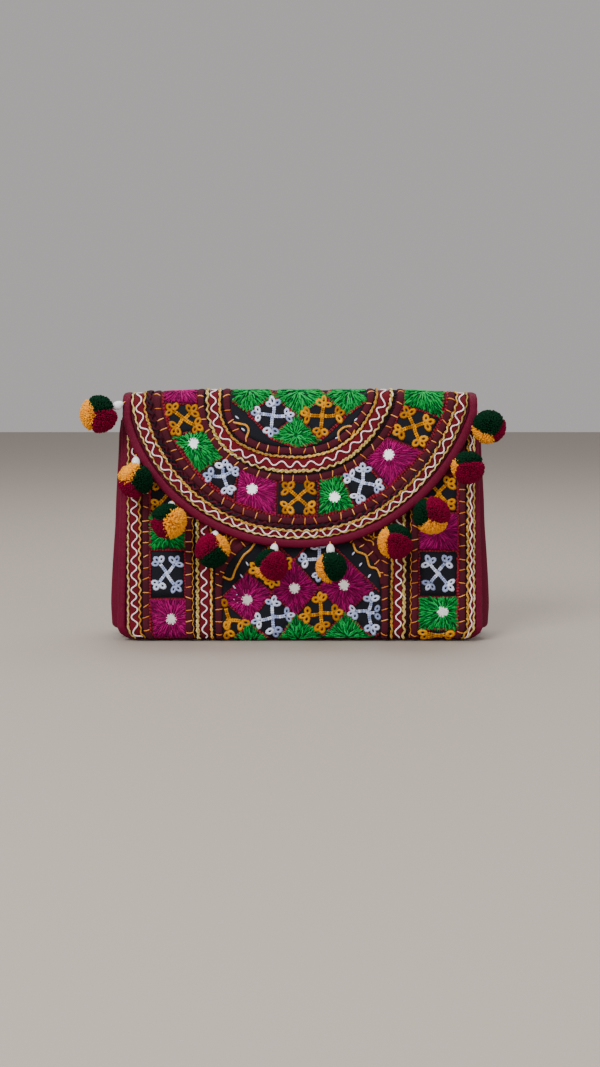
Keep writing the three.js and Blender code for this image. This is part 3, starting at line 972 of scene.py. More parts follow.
def cloth_bands(name, pairs, material):
    """Cloth bands between two lines, slightly crowned, as wide as the room between them."""
    parts = []
    for first, second in pairs:
        for a, b in zip(routes(first), routes(second)):
            route = (a + b) / 2
            marks = even_marks(route, 1.5)
            room = np.interp(marks, walked_along(route), np.linalg.norm(a - b, axis=1))
            parts.append(swept(route, marks, BAND_SECTION, wide=room))
    embroidery(name, *join(parts), material)


def waved(route, pitch, height):
    """A route that swings from side to side by hand, with uneven steps and heights."""
    count = int(walked_along(route)[-1] / (pitch / 2)) + 2
    steps = pitch / 2 * rng.uniform(0.78, 1.22, count)
    turns = np.concatenate([[0], np.cumsum(steps)])
    heights = height * rng.uniform(0.72, 1.12, count + 1) * (-1.0) ** np.arange(count + 1)
    marks = even_marks(route, 0.7)
    places = placed(route, marks)
    k = np.clip(np.searchsorted(turns, marks, side="right") - 1, 0, count - 1)
    share = (marks - turns[k]) / (turns[k + 1] - turns[k])
    eased = 0.5 * (smooth(share) + smooth(smooth(share)))
    aside = heights[k] + (heights[k + 1] - heights[k]) * eased
    x = places[:, 0] - places[:, 3] * aside
    s = places[:, 1] + places[:, 2] * aside
    return np.stack([x, s], axis=-1)


def wavy_threads(name, rows, width, colour, lift):
    """Wavy couched threads: rows of route, pitch and height."""
    section = rounded_section(width, width * 0.85, lift, points=THREAD_SIDES, power=1)
    parts = []
    for straight, pitch, height in rows:
        route = waved(straight, pitch, height)
        parts.append(swept(route, even_marks(route, 0.7), section))
    points, faces = join(parts)
    rings = rng.uniform(0.35, 1, len(points) // THREAD_SIDES + 1)
    tints = np.repeat(rings, THREAD_SIDES)[: len(points)]
    embroidery(name, points, faces, thread[colour], tints)


def chains(name, all_routes, colour, **sizes):
    """Rows of chain stitch."""
    points, faces, tints = chain_rows(all_routes, **sizes)
    embroidery(name, points, faces, thread[colour], tints)


def twisted(name, all_routes, colours, width, sway, pitch=5.5, narrowed=None):
    """Two loosely twisted strands along routes, each with its own colour."""
    section = rounded_section(width, width * 0.9, FACE + 0.7, points=THREAD_SIDES, power=1)
    for turn, colour in enumerate(colours):
        parts = []
        tints = []
        for route in all_routes:
            start = rng.uniform(0, 6)
            marks = even_marks(route, 0.85)
            angle = marks * 2 * math.pi / pitch + start * (turn == 0) + math.pi * turn
            angle = angle + 1.1 * np.sin(marks * 0.13 + start)
            wander = 0.3 * np.sin(marks * 0.21 + 2 * start) * np.sin(marks * 0.077)
            share = narrowed(route, marks) if narrowed else 1.0
            beside = share * sway * np.cos(angle) + wander
            above = share * 0.35 * (1 + np.sin(angle))
            parts.append(swept(route, marks, section, beside=beside, above=above))
            ring = np.arange(len(marks))
            drift = 0.55 + 0.3 * np.sin(ring * 0.045 + start)
            drift = drift + rng.uniform(-0.25, 0.25, len(marks))
            tints.append(np.repeat(np.clip(drift, 0, 1), THREAD_SIDES))
        embroidery(f"{name}_{turn + 1}", *join(parts), thread[colour], np.concatenate(tints))


def slimmer_to_the_right(route, marks):
    """The dark rope's share of its size, full at the flap's left."""
    left = np.clip(-route[:, 0] / FLAP_HALF_WIDTH, 0, 1)
    return np.interp(marks, walked_along(route), 0.55 + 0.45 * left)


def line_work():
    """The bands, twisted and wavy threads, and dark chain rows beside the cords: dark rope on the
    front, painted shade of the cords on the inner lines.
    """
    cloth_bands("scarlet_bands", (("cream", "yellow"), ("yellow_in", "gold_in")), scarlet_cloth)
    for name, line, colours, width, sway in TWISTED_THREADS:
        twisted(name, routes(line), colours, width, sway)
    chains("scarlet_chains", routes("scarlet"), "scarlet", width=1.5)
    # Painted shade: dark chain rows on the two inner lines stand for the cords' shadow lines; those
    # along the front's rope are dark thread
    dark = [route for line in ("shadow_line_in", "shadow_line_core") for route in routes(line)]
    dark += [front_route(-1, "rope"), front_route(1, "rope")]
    chains("night_and_shadow_chains", dark, "night", width=2.2, lift=FACE + 0.35)
    waves = [(route, *sizes) for route, sizes in zip(routes("wave"), OUTER_WAVES)]
    waves += [(route, 9.4, 2.0) for route in routes("wave_in")]
    wavy_threads("white_waves", waves, 0.9, "wave", FACE + 0.85)
    thin = [(route, 5.5, 0.45) for route in routes("squiggle")[:2]]
    wavy_threads("gold_squiggles", thin, 0.45, "gold", FACE + 0.7)
    rope = [long_route("rope", last=math.radians(62))]
    twisted("dark_rope", rope, ("night", "cord"), 2.0, 1.2, 6.2, slimmer_to_the_right)


def cords(name, all_routes, width=4.8, tall=1.75, pitch=8.0):
    """Padded cords, drawn in like links by the orange stitches over them."""
    parts = []
    places = []
    section = [
        (width / 2 * math.cos(a), FACE - 0.1 + tall * max(math.sin(a), 0) ** 0.75)
        for a in np.linspace(0, math.pi, 10)
    ]
    for route in all_routes:
        length = walked_along(route)[-1]
        steps = pitch * rng.uniform(0.82, 1.18, int(length / pitch / 0.82) + 2)
        stitches = np.cumsum(steps)
        stitches = stitches[stitches < length - 2]
        marks = even_marks(route, 1.0)
        nearest = np.abs(marks[:, None] - stitches[None]).min(axis=1)
        drawn_in = 1 - 0.27 * np.exp(-((nearest / 1.2) ** 2))
        parts.append(swept(route, marks, section, size=drawn_in))
        places.append(placed(route, stitches))
    embroidery(name, *join(parts), cord_cloth)
    places = np.concatenate(places)
    count = len(places)
    lean = rng.normal(0, 0.28, count)
    tx = places[:, 2] * np.cos(lean) - places[:, 3] * np.sin(lean)
    ts = places[:, 2] * np.sin(lean) + places[:, 3] * np.cos(lean)
    places = np.stack([places[:, 0], places[:, 1], tx, ts], axis=-1)
    reach = width / 2 * rng.uniform(0.8, 1.02, count)
    points, faces = sewn(HOOP, places, reach, 2.5, tall * 0.82, FACE - 0.05)
    tints = tinted(count, len(HOOP[0]), 0.3, 1)
    embroidery(name + "_stitches", points, faces, thread["orange"], tints)


# Patches with stars and looped crosses


class Patch:
    """A four-cornered patch of cloth on the strip, with what is sewn on it."""

    def __init__(self, kind, corners, limits=(-1e3, 1e3), foot=(-1e3, 1e3), dense=1.0):
        self.kind = kind
        self.corners = np.asarray(corners, float)
        self.mirror = False
        self.limits = limits
        self.foot = foot
        self.dense = dense
        self.centre = self.corners.mean(axis=0)

    def within(self, points, margin=0.0):
        """Which points keep clear of the patch's limits across and along."""
        return (
            (points[:, 0] > self.limits[0] + margin)
            & (points[:, 0] < self.limits[1] - margin)
            & (points[:, 1] > self.foot[0] + margin)
            & (points[:, 1] < self.foot[1] - margin)
        )

    def gaps(self, points):
        """The distance of points inside the nearest edge."""
        turn = np.sign(np.cross(self.corners[1] - self.corners[0], self.corners[2] - self.corners[1]))
        least = np.full(len(points), 1e3)
        for k in range(4):
            a = self.corners[k]
            edge = self.corners[(k + 1) % 4] - a
            size = np.hypot(*edge)
            if size < 1e-6:
                continue
            gap = (edge[0] * (points[:, 1] - a[1]) - edge[1] * (points[:, 0] - a[0])) / size
            least = np.minimum(least, gap * turn)
        return least


def patch_cloth(name, patches, material):
    """The ground cloth of several patches, each a low pillow."""
    shares = np.linspace(0, 1, 7)
    u, v = np.meshgrid(shares, shares)
    pillow = PATCH * (1 - (2 * u - 1) ** 6) * (1 - (2 * v - 1) ** 6)
    weights = np.stack([(1 - u) * (1 - v), u * (1 - v), u * v, (1 - u) * v], axis=-1)
    parts = []
    for patch in patches:
        flat = weights @ patch.corners
        x = np.clip(flat[..., 0], *patch.limits)
        s = np.clip(flat[..., 1], *patch.foot)
        parts.append(slab(x, s, FACE + 0.22 + pillow, FACE - 0.25))
    embroidery(name, *join(parts), material)


# Where a star's stitches may start round a mirror, and how far they may stray over the edge
MIRROR_ROOM = 2.2
STAR_SIZES = {
    "leaf": {"length": 5.4, "width": 1.1, "fray": 1.6},
    "rose": {"length": 6.2, "width": 0.85, "fray": 0.9},
}


def stroke_ring(patch, ring, inner, reach, length, width):
    """One ring of a star's strokes, as rows of x, s, tx, ts, size, lift, slope and tint."""
    count = max(int(2 * math.pi * (inner + length * 0.35) / (width * 1.05) * patch.dense), 7)
    angles = (np.arange(count) + 0.5 * (ring % 2)) * 2 * math.pi / count
    angles = angles + rng.uniform(-0.45, 0.45, count) * 2 * math.pi / count
    size = length * rng.uniform(0.75, 1.15, count)
    stray = rng.uniform(0, 0.35, count) * length * (ring > 0)
    at_mirror = ring == 0 and patch.mirror
    if at_mirror:
        stray = rng.uniform(0, 1, count) ** 2 * 1.2
    away = inner + size / 2 + stray
    turn = angles + rng.normal(0, 0.13, count)
    x = patch.centre[0] + away * np.cos(angles)
    s = patch.centre[1] + away * np.sin(angles)
    lift = FACE + PATCH + 0.3 + rng.uniform(0, 0.35, count) + 0.55 * at_mirror
    slope = np.full(count, -0.2 * at_mirror)
    share = np.clip(away / (0.8 * reach), 0, 1)
    tint = np.clip(0.85 - 0.45 * share + rng.uniform(-0.4, 0.3, count), 0, 1)
    return np.stack([x, s, np.cos(turn), np.sin(turn), size, lift, slope, tint], axis=-1)


def star_strokes(patch, length, width, fray):
    """Radial strokes from a patch's middle to its edges, cut short where they pass an edge."""
    reach = np.linalg.norm(patch.corners - patch.centre, axis=1).max()
    inner = MIRROR_ROOM if patch.mirror else 0.6
    rings = []
    while inner < reach:
        rings.append(stroke_ring(patch, len(rings), inner, reach, length, width))
        inner += length * 0.42
    rows = np.concatenate(rings)
    inner_ends = rows[:, :2] - rows[:, 2:4] * rows[:, 4:5] / 2
    outer_ends = rows[:, :2] + rows[:, 2:4] * rows[:, 4:5] / 2
    room = patch.gaps(inner_ends) + fray * rng.uniform(0, 1, len(rows)) ** 2
    drop = patch.gaps(inner_ends) - patch.gaps(outer_ends)
    kept = np.clip(np.where(drop > 0, room / np.maximum(drop, 1e-6), 1), 0, 1)
    rows[:, :2] = inner_ends + rows[:, 2:4] * rows[:, 4:5] * kept[:, None] / 2
    rows[:, 4] *= kept
    outer_ends = rows[:, :2] + rows[:, 2:4] * rows[:, 4:5] / 2
    return rows[(rows[:, 4] > 1.5) & patch.within(outer_ends, 0.2)]


def stars(name, patches, colour):
    """Stars of radial strokes, each stroke with its own width and tint."""
    sizes = STAR_SIZES[colour]
    rows = np.concatenate([star_strokes(patch, **sizes) for patch in patches])
    wide = sizes["width"] / 2 * rng.uniform(0.85, 1.25, len(rows))
    places, size, lift, slope, tint = rows[:, :4], rows[:, 4], rows[:, 5], rows[:, 6], rows[:, 7]
    points, faces = sewn(STROKE, places, wide, size / 2, 0.42, lift, slope)
    embroidery(name, points, faces, thread[colour], np.repeat(tint, len(STROKE[0])))


# The arms of a looped cross: a stem of links with three petals at its end
CROSS_INSET = 0.5
LONGEST_ARM = 15.4
LINK_STEP = 1.5
PETAL_TURNS = ((0, 3.0), (1.25, 2.9), (-1.25, 2.9))
PETAL_ROOM = 3.4


def way_at(angle):
    """The direction at an angle."""
    return np.array([math.cos(angle), math.sin(angle)])


def cross_on(patch):
    """The links and petals of a looped cross on a patch, as rows of x, s and direction."""
    least = (patch.limits[0] + CROSS_INSET, patch.foot[0] + CROSS_INSET)
    most = (patch.limits[1] - CROSS_INSET, patch.foot[1] - CROSS_INSET)
    corners = np.clip(patch.corners, least, most)
    middle = corners.mean(axis=0)
    links = []
    petals = []
    for corner in corners:
        earlier = [petal[:2] for petal in petals]
        arm = corner - middle
        reach = np.linalg.norm(arm)
        stem = min(reach * 0.9, LONGEST_ARM) * 0.56
        bow = rng.uniform(-0.5, 0.5)
        first = math.atan2(arm[1], arm[0]) - bow * 0.5
        place = middle + rng.normal(0, 0.4, 2)
        for walked in np.arange(0, stem, LINK_STEP):
            heading = first + bow * walked / stem
            links.append([*place, *way_at(heading)])
            place = place + way_at(heading) * LINK_STEP
        for lean, away in PETAL_TURNS:
            way = way_at(heading + lean + rng.uniform(-0.28, 0.28))
            petal = place + way * away
            crowded = any(np.hypot(*(petal - other)) < PETAL_ROOM for other in earlier)
            inside = patch.within(petal[None], 0.9)[0] and patch.gaps(petal[None])[0] > 0.4
            if inside and not crowded:
                petals.append([*petal, *way])
    links = np.array(links)
    return links[patch.within(links, 0.8)], np.array(petals).reshape(-1, 4)


def crosses(name, patches, colour):
    """Looped crosses: an arm of chain stitch to each corner, with three petals at its end."""
    made = [cross_on(patch) for patch in patches]
    links = np.concatenate([cross[0] for cross in made])
    petals = np.concatenate([cross[1] for cross in made])
    lift = FACE + PATCH + 0.5
    full = 1.12 if colour == "star_gold" else 1.0
    wide = 2.05 * full * rng.uniform(0.88, 1.15, len(petals))
    long = 3.0 * full * rng.uniform(0.88, 1.12, len(petals))
    parts = [
        sewn(LINK, links, 1.2 * full, 1.35, 1.15, lift),
        sewn(RING, petals, wide, long, 1.5, lift),
    ]
    tints = [tinted(len(links), len(LINK[0]), 0.2), tinted(len(petals), len(RING[0]), 0.2)]
    embroidery(name, *join(parts), thread[colour], np.concatenate(tints))


# The front's side squares from the foot upwards: kind and upper edge on the left and the right
LEFT_SQUARES = (("rose", 29.4), ("white", 62.0), ("leaf", 87.0), ("gold", 112.0))
RIGHT_SQUARES = (("leaf", 30.6), ("white", 61.4), ("rose", 86.5), ("gold", 112.0))
SQUARE_FOOT = {-1: 2.8, 1: 8.4}

# The front's lattice: nodes of each row as x and height. Rows run from the arch to the foot.
FRONT_NODES = {
    4: ((-19, 68), (12.5, 73)),
    3: ((-35, 46), (-4, 54), (29.5, 56)),
    2: ((-52, 29), (-18.5, 33.2), (12.5, 35.8), (49.5, 36.6)),
    1: ((-69, 13), (-33.5, 13), (-3, 17.9), (30, 19), (66, 20)),
    0: ((-50.5, -3), (-16.5, -0.3), (15.5, 5), (49, 3)),
    -1: ((-33, -17), (-1, -14), (31, -12)),
}
# Each diamond: kind, then its top, right, bottom and left node as row and place in the row
FRONT_DIAMONDS = (
    ("gold", (4, 0), (3, 1), (2, 1), (3, 0)),
    ("white", (4, 1), (3, 2), (2, 2), (3, 1)),
    ("rose", (3, 0), (2, 1), (1, 1), (2, 0)),
    ("rose", (3, 1), (2, 2), (1, 2), (2, 1)),
    ("rose", (3, 2), (2, 3), (1, 3), (2, 2)),
    ("gold", (2, 0), (1, 1), (0, 0), (1, 0)),
    ("white", (2, 1), (1, 2), (0, 1), (1, 1)),
    ("gold", (2, 2), (1, 3), (0, 2), (1, 2)),
    ("white", (2, 3), (1, 4), (0, 3), (1, 3)),
    ("leaf", (1, 1), (0, 1), (-1, 0), (0, 0)),
    ("leaf", (1, 2), (0, 2), (-1, 1), (0, 1)),
    ("leaf", (1, 3), (0, 3), (-1, 2), (0, 2)),
)

# The medallion's nodes as x and drop below the fold, and its diamonds as above
MEDAL_NODES = {
    3: ((-33, -24), (0, -24), (34, -24)),
    2: ((-50, 0.5), (-17, 1.4), (17, 2), (49, 1)),
    1: ((-34.5, 12.1), (-2, 13.5), (31.5, 12.9)),
    0: ((-19.5, 29), (13, 30.9)),
    -1: ((-1.5, 35.4),),
}
MEDAL_DIAMONDS = (
    ("leaf", (3, 0), (2, 1), (1, 0), (2, 0)),
    ("leaf", (3, 1), (2, 2), (1, 1), (2, 1)),
    ("leaf", (3, 2), (2, 3), (1, 2), (2, 2)),
    ("white", (2, 1), (1, 1), (0, 0), (1, 0)),
    ("gold", (2, 2), (1, 2), (0, 1), (1, 1)),
    ("leaf", (1, 1), (0, 1), (-1, 0), (0, 0)),
)

# The flap's ring of squares: each one's kind and where it ends at its outer and inner edge, in
# degrees from the tip, from the left round to the right
RING_START = (-85, -83.5)
RING_SQUARES = (
    ("gold", -66.5, -65.4),
    ("leaf", -46, -44),
    ("white", -26.1, -32.4),
    ("rose", -8.3, -9.8),
    ("gold", 5.7, 9.1),
    ("leaf", 19.6, 20.9),
    ("white", 34.8, 34.8),
    ("rose", 55, 53.4),
    ("gold", 73.3, 77.8),
)
OVER_FOLD = FLAP_TOP - 17

# The back's squares from the foot up on the left, and its lattice, set so that the mirrors lie
# in the middle of stars
BACK_SQUARES = ("gold", "white", "rose", "gold", "leaf", "white", "rose", "gold", "leaf")
BACK_SQUARE_FOOT = -5.2
BACK_SQUARE_PITCH = 18.68
BACK_PITCH_X = 17.3
BACK_PITCH_Z = 13.28
BACK_LATTICE_TOP = 159.4
BACK_LIMITS = (-49.0, 48.5)


# How near to a patch's middle a mirror lies that belongs to it
MIRROR_REACH = 9


def patch_of(kind, corners, mirrors, **more):
    """A patch, with a mirror where one of the mirror nodes lies on it."""
    patch = Patch(kind, corners, **more)
    near = [m for m in mirrors if np.hypot(*(m - patch.centre)) < MIRROR_REACH]
    if near and kind in ("rose", "leaf"):
        patch.mirror = True
        patch.centre = near[0]
    return patch


def box_of(node):
    """The middle of a node of the frame and half its mean size, in metres."""
    low, high = (np.array(corner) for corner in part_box(node))
    return (low + high) / 2, float((high - low).mean()) / 2


def mirror_places(face):
    """Where the mirrors of a face lie, as x and distance along the strip."""
    runs = {
        "front": (0.0, FRONT_BEND),
        "flap": (DROP_RUN, STRIP_LENGTH),
        "back": (BACK_RUN, FOLD_START),
    }
    tries = np.linspace(*runs[face], 4000)
    places = []
    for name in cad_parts:
        if name.startswith("mirror_" + face):
            x, _, height = box_of(name)[0] / MM
            heights = on_strip(x, tries, FACE + 0.7)[:, 2] / MM
            places.append(np.array([x, tries[np.argmin(np.abs(heights - height))]]))
    return places


def column_patch(side, kind, upper, lower, mirrors, **more):
    """A square of a side column between two places along the strip."""
    corners = [
        (line_x(side, "square_out", upper), upper),
        (line_x(side, "square_in", upper), upper),
        (line_x(side, "square_in", lower), lower),
        (line_x(side, "square_out", lower), lower),
    ]
    return patch_of(kind, corners, mirrors, **more)


def front_patches():
    """The front's side squares and its lattice."""
    mirrors = mirror_places("front")
    foot = (0, FRONT_END)
    patches = []
    for side, squares in ((-1, LEFT_SQUARES), (1, RIGHT_SQUARES)):
        low = SQUARE_FOOT[side]
        for kind, high in squares:
            upper = front_s(high - 0.6)
            lower = front_s(low + 0.6)
            patches.append(column_patch(side, kind, upper, lower, mirrors, foot=foot))
            low = high
    low = SQUARE_FOOT[1]
    rest = column_patch(1, "gold", front_s(low - 0.6), front_s(low - 24), mirrors, foot=foot)
    patches.append(rest)
    limits = (line_on_front(-1, "field"), line_on_front(1, "field"))
    for kind, *nodes in FRONT_DIAMONDS:
        corners = [FRONT_NODES[row][place] for row, place in nodes]
        corners = [(x, front_s(height)) for x, height in corners]
        patches.append(patch_of(kind, corners, mirrors, limits=limits, foot=foot))
    return patches


def flap_patches():
    """The flap's ring of squares, the squares over the fold and the medallion."""
    mirrors = mirror_places("flap")
    patches = []
    outer_start, inner_start = RING_START
    for kind, outer_end, inner_end in RING_SQUARES:
        outer = ring_points("square_out", np.radians([outer_start + 0.5, outer_end - 0.5]))
        inner = ring_points("square_in", np.radians([inner_start + 0.7, inner_end - 0.7]))
        corners = [outer[0], outer[1], inner[1], inner[0]]
        patches.append(patch_of(kind, corners, mirrors))
        outer_start = outer_end
        inner_start = inner_end
    for side, angles, kind in ((-1, RING_START, "rose"), (1, RING_SQUARES[-1][1:], "leaf")):
        outer = ring_points("square_out", np.radians([angles[0]]))[0]
        inner = ring_points("square_in", np.radians([angles[1]]))[0]
        corners = [
            (line_x(side, "square_out", OVER_FOLD), OVER_FOLD),
            (line_x(side, "square_in", OVER_FOLD), OVER_FOLD),
            (inner[0], inner[1] - 0.6),
            (outer[0], outer[1] - 0.6),
        ]
        patches.append(patch_of(kind, corners, mirrors))
    limits = (line_on_flap(-1, "field"), line_on_flap(1, "field"))
    for kind, *nodes in MEDAL_DIAMONDS:
        corners = [MEDAL_NODES[row][place] for row, place in nodes]
        corners = [(x, FLAP_TOP + drop) for x, drop in corners]
        patches.append(patch_of(kind, corners, mirrors, limits=limits))
    return patches


def back_s(height):
    """The distance along the strip of a height on the back."""
    return at_height(BACK_RUN, FOLD_START, height)


def back_patches():
    """The back's side squares and its lattice."""
    mirrors = mirror_places("back")
    patches = []
    foot = (BACK_END, FLAP_TOP)
    swapped = {"rose": "leaf", "leaf": "rose", "gold": "white", "white": "gold"}
    for side in (-1, 1):
        for k, kind in enumerate(BACK_SQUARES):
            low = BACK_SQUARE_FOOT + BACK_SQUARE_PITCH * k
            lower = back_s(low + 0.5)
            last = k + 1 == len(BACK_SQUARES)
            upper = OVER_FOLD - 1 if last else back_s(low + BACK_SQUARE_PITCH - 0.5)
            kind = kind if side < 0 else swapped[kind]
            more = {"foot": foot, "dense": 0.72}
            patches.append(column_patch(side, kind, upper, lower, mirrors, **more))
    more = {"limits": BACK_LIMITS, "foot": (BACK_END, FLAP_TOP - 24), "dense": 0.62}
    for j in range(13):
        for i in range(-3, 4):
            if (i + j) % 2:
                continue
            x = BACK_PITCH_X * i
            height = BACK_LATTICE_TOP - BACK_PITCH_Z * j
            corners = [
                (x, back_s(height + BACK_PITCH_Z)),
                (x + BACK_PITCH_X, back_s(height)),
                (x, back_s(height - BACK_PITCH_Z)),
                (x - BACK_PITCH_X, back_s(height)),
            ]
            if j % 2:
                kind = "white" if (i + j) % 4 else "gold"
            else:
                kind = "rose" if j % 4 else "leaf"
            patches.append(patch_of(kind, corners, mirrors, **more))
    return patches


def outlines(patches, name, width):
    """Scarlet chain stitch along the patches' edges, once for each shared edge."""
    seen = []
    edge_routes = []
    for patch in patches:
        for k in range(4):
            a = patch.corners[k]
            b = patch.corners[(k + 1) % 4]
            middle = (a + b) / 2
            if any(np.hypot(*(middle - other)) < 2.4 for other in seen):
                continue
            seen.append(middle)
            route = np.linspace(a, b, 16)
            route = route[patch.within(route, 0.4)]
            if len(route) > 2:
                edge_routes.append(route)
    lift = FACE + PATCH + 0.25
    chains(name, edge_routes, "scarlet", width=width, spacing=2.0, lift=lift)


def patchwork(place, patches):
    """The patches of a face with their stars, crosses and outlines."""
    kinds = ("white", "gold", "rose", "leaf")
    of_kind = {kind: [p for p in patches if p.kind == kind] for kind in kinds}
    patch_cloth(place + "_black_patches", of_kind["white"] + of_kind["gold"], night_cloth)
    patch_cloth(place + "_rose_grounds", of_kind["rose"], rose_cloth)
    patch_cloth(place + "_leaf_grounds", of_kind["leaf"], leaf_cloth)
    stars(place + "_rose_stars", of_kind["rose"], "rose")
    stars(place + "_leaf_stars", of_kind["leaf"], "leaf")
    crosses(place + "_white_crosses", of_kind["white"], "frost")
    crosses(place + "_gold_crosses", of_kind["gold"], "star_gold")
    squares = [p for p in patches if p.limits[0] < -900]
    diamonds = [p for p in patches if p.limits[0] > -900]
    outlines(squares, place + "_square_outlines", 1.2)
    outlines(diamonds, place + "_diamond_outlines", 2.1 if place == "flap" else 1.6)


# Where the black ground ends under the front's arch of cord
GROUND_HALF_WIDTH = 53.5
GROUND_RISE = 35


def grounds():
    """Black cloth under the front's lattice and the flap's medallion."""
    across, down = np.meshgrid(np.linspace(0, 1, 41), np.linspace(0, 1, 30))
    left = line_on_front(-1, "field")
    right = line_on_front(1, "field")
    x = left + (right - left) * across
    from_middle = np.minimum(np.abs(x - ARCH_MIDDLE) / GROUND_HALF_WIDTH, 1)
    top = front_s(ARCH_FOOT + GROUND_RISE * np.sqrt(1 - from_middle**2))
    s = top + (FRONT_END - top) * down
    embroidery("front_ground", *slab(x, s, FACE + 0.26, FACE - 0.2), night_cloth)
    ring = ring_points("field", np.radians(np.linspace(-89.5, 89.5, 61)))
    x, down = np.meshgrid(ring[:, 0], np.linspace(0, 1, 18))
    start = FLAP_TOP - 16
    s = start + (ring[:, 1] - start) * down
    embroidery("medallion_ground", *slab(x, s, FACE + 0.26, FACE - 0.2), night_cloth)


# Looping threads beside the lattices: points as x and height on the front, and as x and drop
# below the fold on the flap
FRONT_LOOPS = (
    ((-51.5, 43.8), (-45.5, 41.9), (-42.5, 48.5), (-37.5, 57.1), (-33, 61.1), (-29.5, 66)),
    ((35, 66), (37.2, 60.5), (43.5, 57.6), (46, 50.5), (51, 48.6), (53.4, 43)),
)
FLAP_LOOPS = (
    ((-44.5, 18.6), (-40.2, 19.4), (-35.6, 20.6), (-33.8, 23.6), (-34.6, 26.8), (-36, 29.6)),
    ((21.5, 32.8), (25.4, 30.4), (25.2, 25.5), (28.5, 22.2), (33, 21.2), (35.6, 23.6), (34.6, 27.6)),
)
# White dashes as x, height or drop, and the angle along. Seeds have no angle.
FRONT_DASHES = (
    (-43.4, 36.6, 0.9),
    (-38.6, 44.0, 0.95),
    (-34.8, 52.0, 1.0),
    (45.8, 44.0, -0.9),
    (40.0, 51.5, -0.9),
    (35.2, 58.8, -0.9),
)
FLAP_DASHES = ((-41.4, 15.4, 0.7), (-37.4, 23.4, 0.7), (24.4, 28.8, -0.5), (36.8, 16.8, -0.75))
SEEDS = ((-41.8, 31.8), (-41.4, 26.4), (-43.6, 28.6))
SEED_SHARE = 0.42


def spandrels():
    """Golden looping threads and white dashes in the black corners beside the lattices."""
    curves = [[(x, front_s(height)) for x, height in points] for points in FRONT_LOOPS]
    curves += [[(x, FLAP_TOP + drop) for x, drop in points] for points in FLAP_LOOPS]
    section = rounded_section(1.5, 1.3, FACE + 0.8, points=7, power=1)
    parts = []
    for points in curves:
        route = curved(points)
        parts.append(swept(route, even_marks(route, 0.7), section))
    points, faces = join(parts)
    embroidery("golden_loops", points, faces, thread["gold"], rng.uniform(0.3, 1, len(points)))
    places = [(x, front_s(height), *way_at(angle)) for x, height, angle in FRONT_DASHES]
    places += [(x, FLAP_TOP + drop, *way_at(angle)) for x, drop, angle in FLAP_DASHES]
    size = np.array([1.0] * len(places) + [SEED_SHARE] * len(SEEDS))
    places += [(x, front_s(height), 1, 0) for x, height in SEEDS]
    points, faces = sewn(STROKE, places, 0.3 + 0.32 * size, 1.9 * size - 0.2, 0.45, FACE + 0.95)
    tints = tinted(len(places), len(STROKE[0]), 0.6, 1)
    embroidery("white_dashes", points, faces, thread["frost"], tints)


def curved(points):
    """A smooth route through points of the strip."""
    points = np.array(points, float)
    padded = np.concatenate([[2 * points[0] - points[1]], points, [2 * points[-1] - points[-2]]])
    route = []
    for k in range(1, len(padded) - 2):
        a, b, c, d = padded[k - 1 : k + 3]
        bend = 2 * a - 5 * b + 4 * c - d
        rest = 3 * b - a - 3 * c + d
        for t in np.linspace(0, 1, 10, endpoint=k == len(padded) - 3):
            route.append((2 * b + (c - a) * t + bend * t**2 + rest * t**3) / 2)
    return np.array(route)


def arch_work():
    """Golden threads on the plum cloth outside the front's arch of cord."""
    inner = (arch_route(60.5, 43.5, 2.5, 0.64), 9.0, 0.9)
    outer = (arch_route(66, 49, 2.45, 0.69), 7.0, 1.6)
    wavy_threads("arch_threads", (inner, outer), 0.9, "gold", FACE + 0.6)
    chains("arch_chain", [arch_route(63.5, 46.5, 2.45, 0.7)], "gold", width=1.4)


# Pompoms, each with its sectors: colour, angle seen from the front with 0 at the right and 90 up,
# how far it turns away from the viewer, and a bias that widens it
POMPOMS = (
    (("orange", 185, 60, 0.0), ("green", 70, 55, -0.05), ("red", 315, 50, 0.12)),
    (("orange", 125, 60, 0.0), ("green", 10, 50, 0.1), ("red", 235, 60, 0.0)),
    (("green", 120, 60, 0.0), ("red", 215, 55, 0.0), ("orange", 345, 45, 0.15)),
    (("red", 140, 50, 0.15), ("green", 290, 40, 0.17), ("orange", 25, 80, -0.12)),
    (("red", 345, 25, 0.3), ("green", 135, 85, -0.1), ("orange", 235, 85, -0.15)),
    (("green", 30, 30, 0.35), ("orange", 200, 75, 0.0), ("red", 330, 130, 0.0)),
    (("red", 320, 20, 0.25), ("orange", 190, 75, 0.0), ("green", 60, 70, 0.0)),
    (("green", 165, 65, 0.0), ("red", 45, 45, 0.15), ("orange", 275, 65, 0.0)),
    (("green", 90, 65, 0.0), ("red", 290, 35, 0.3), ("orange", 185, 90, -0.34)),
    (("green", 110, 35, 0.3), ("orange", 235, 70, 0.0), ("red", 330, 80, 0.0)),
)
TIPS_ON_A_POMPOM = 2500


def sector_colours(ways, sectors):
    """The yarn colour of each direction from a pompom's middle, and how far inside its sector."""
    scores = []
    for _, angle, away, bias in sectors:
        a = math.radians(angle)
        t = math.radians(away)
        middle = np.array([math.cos(a) * math.sin(t), -math.cos(t), math.sin(a) * math.sin(t)])
        scores.append(ways @ middle + bias)
    scores = np.array(scores)
    best = np.argmax(scores, axis=0)
    ranked = np.sort(scores, axis=0)
    colours = np.array([srgb(YARN[sector[0]]) for sector in sectors])
    names = np.array([sector[0] for sector in sectors])
    return colours[best], ranked[-1] - ranked[-2], names[best]


def even_ways(count):
    """Directions spread evenly over a ball."""
    k = np.arange(count) + 0.5
    up = 1 - 2 * k / count
    turn = k * math.pi * (3 - math.sqrt(5))
    flat = np.sqrt(1 - up * up)
    return np.stack([flat * np.cos(turn), flat * np.sin(turn), up], axis=-1)


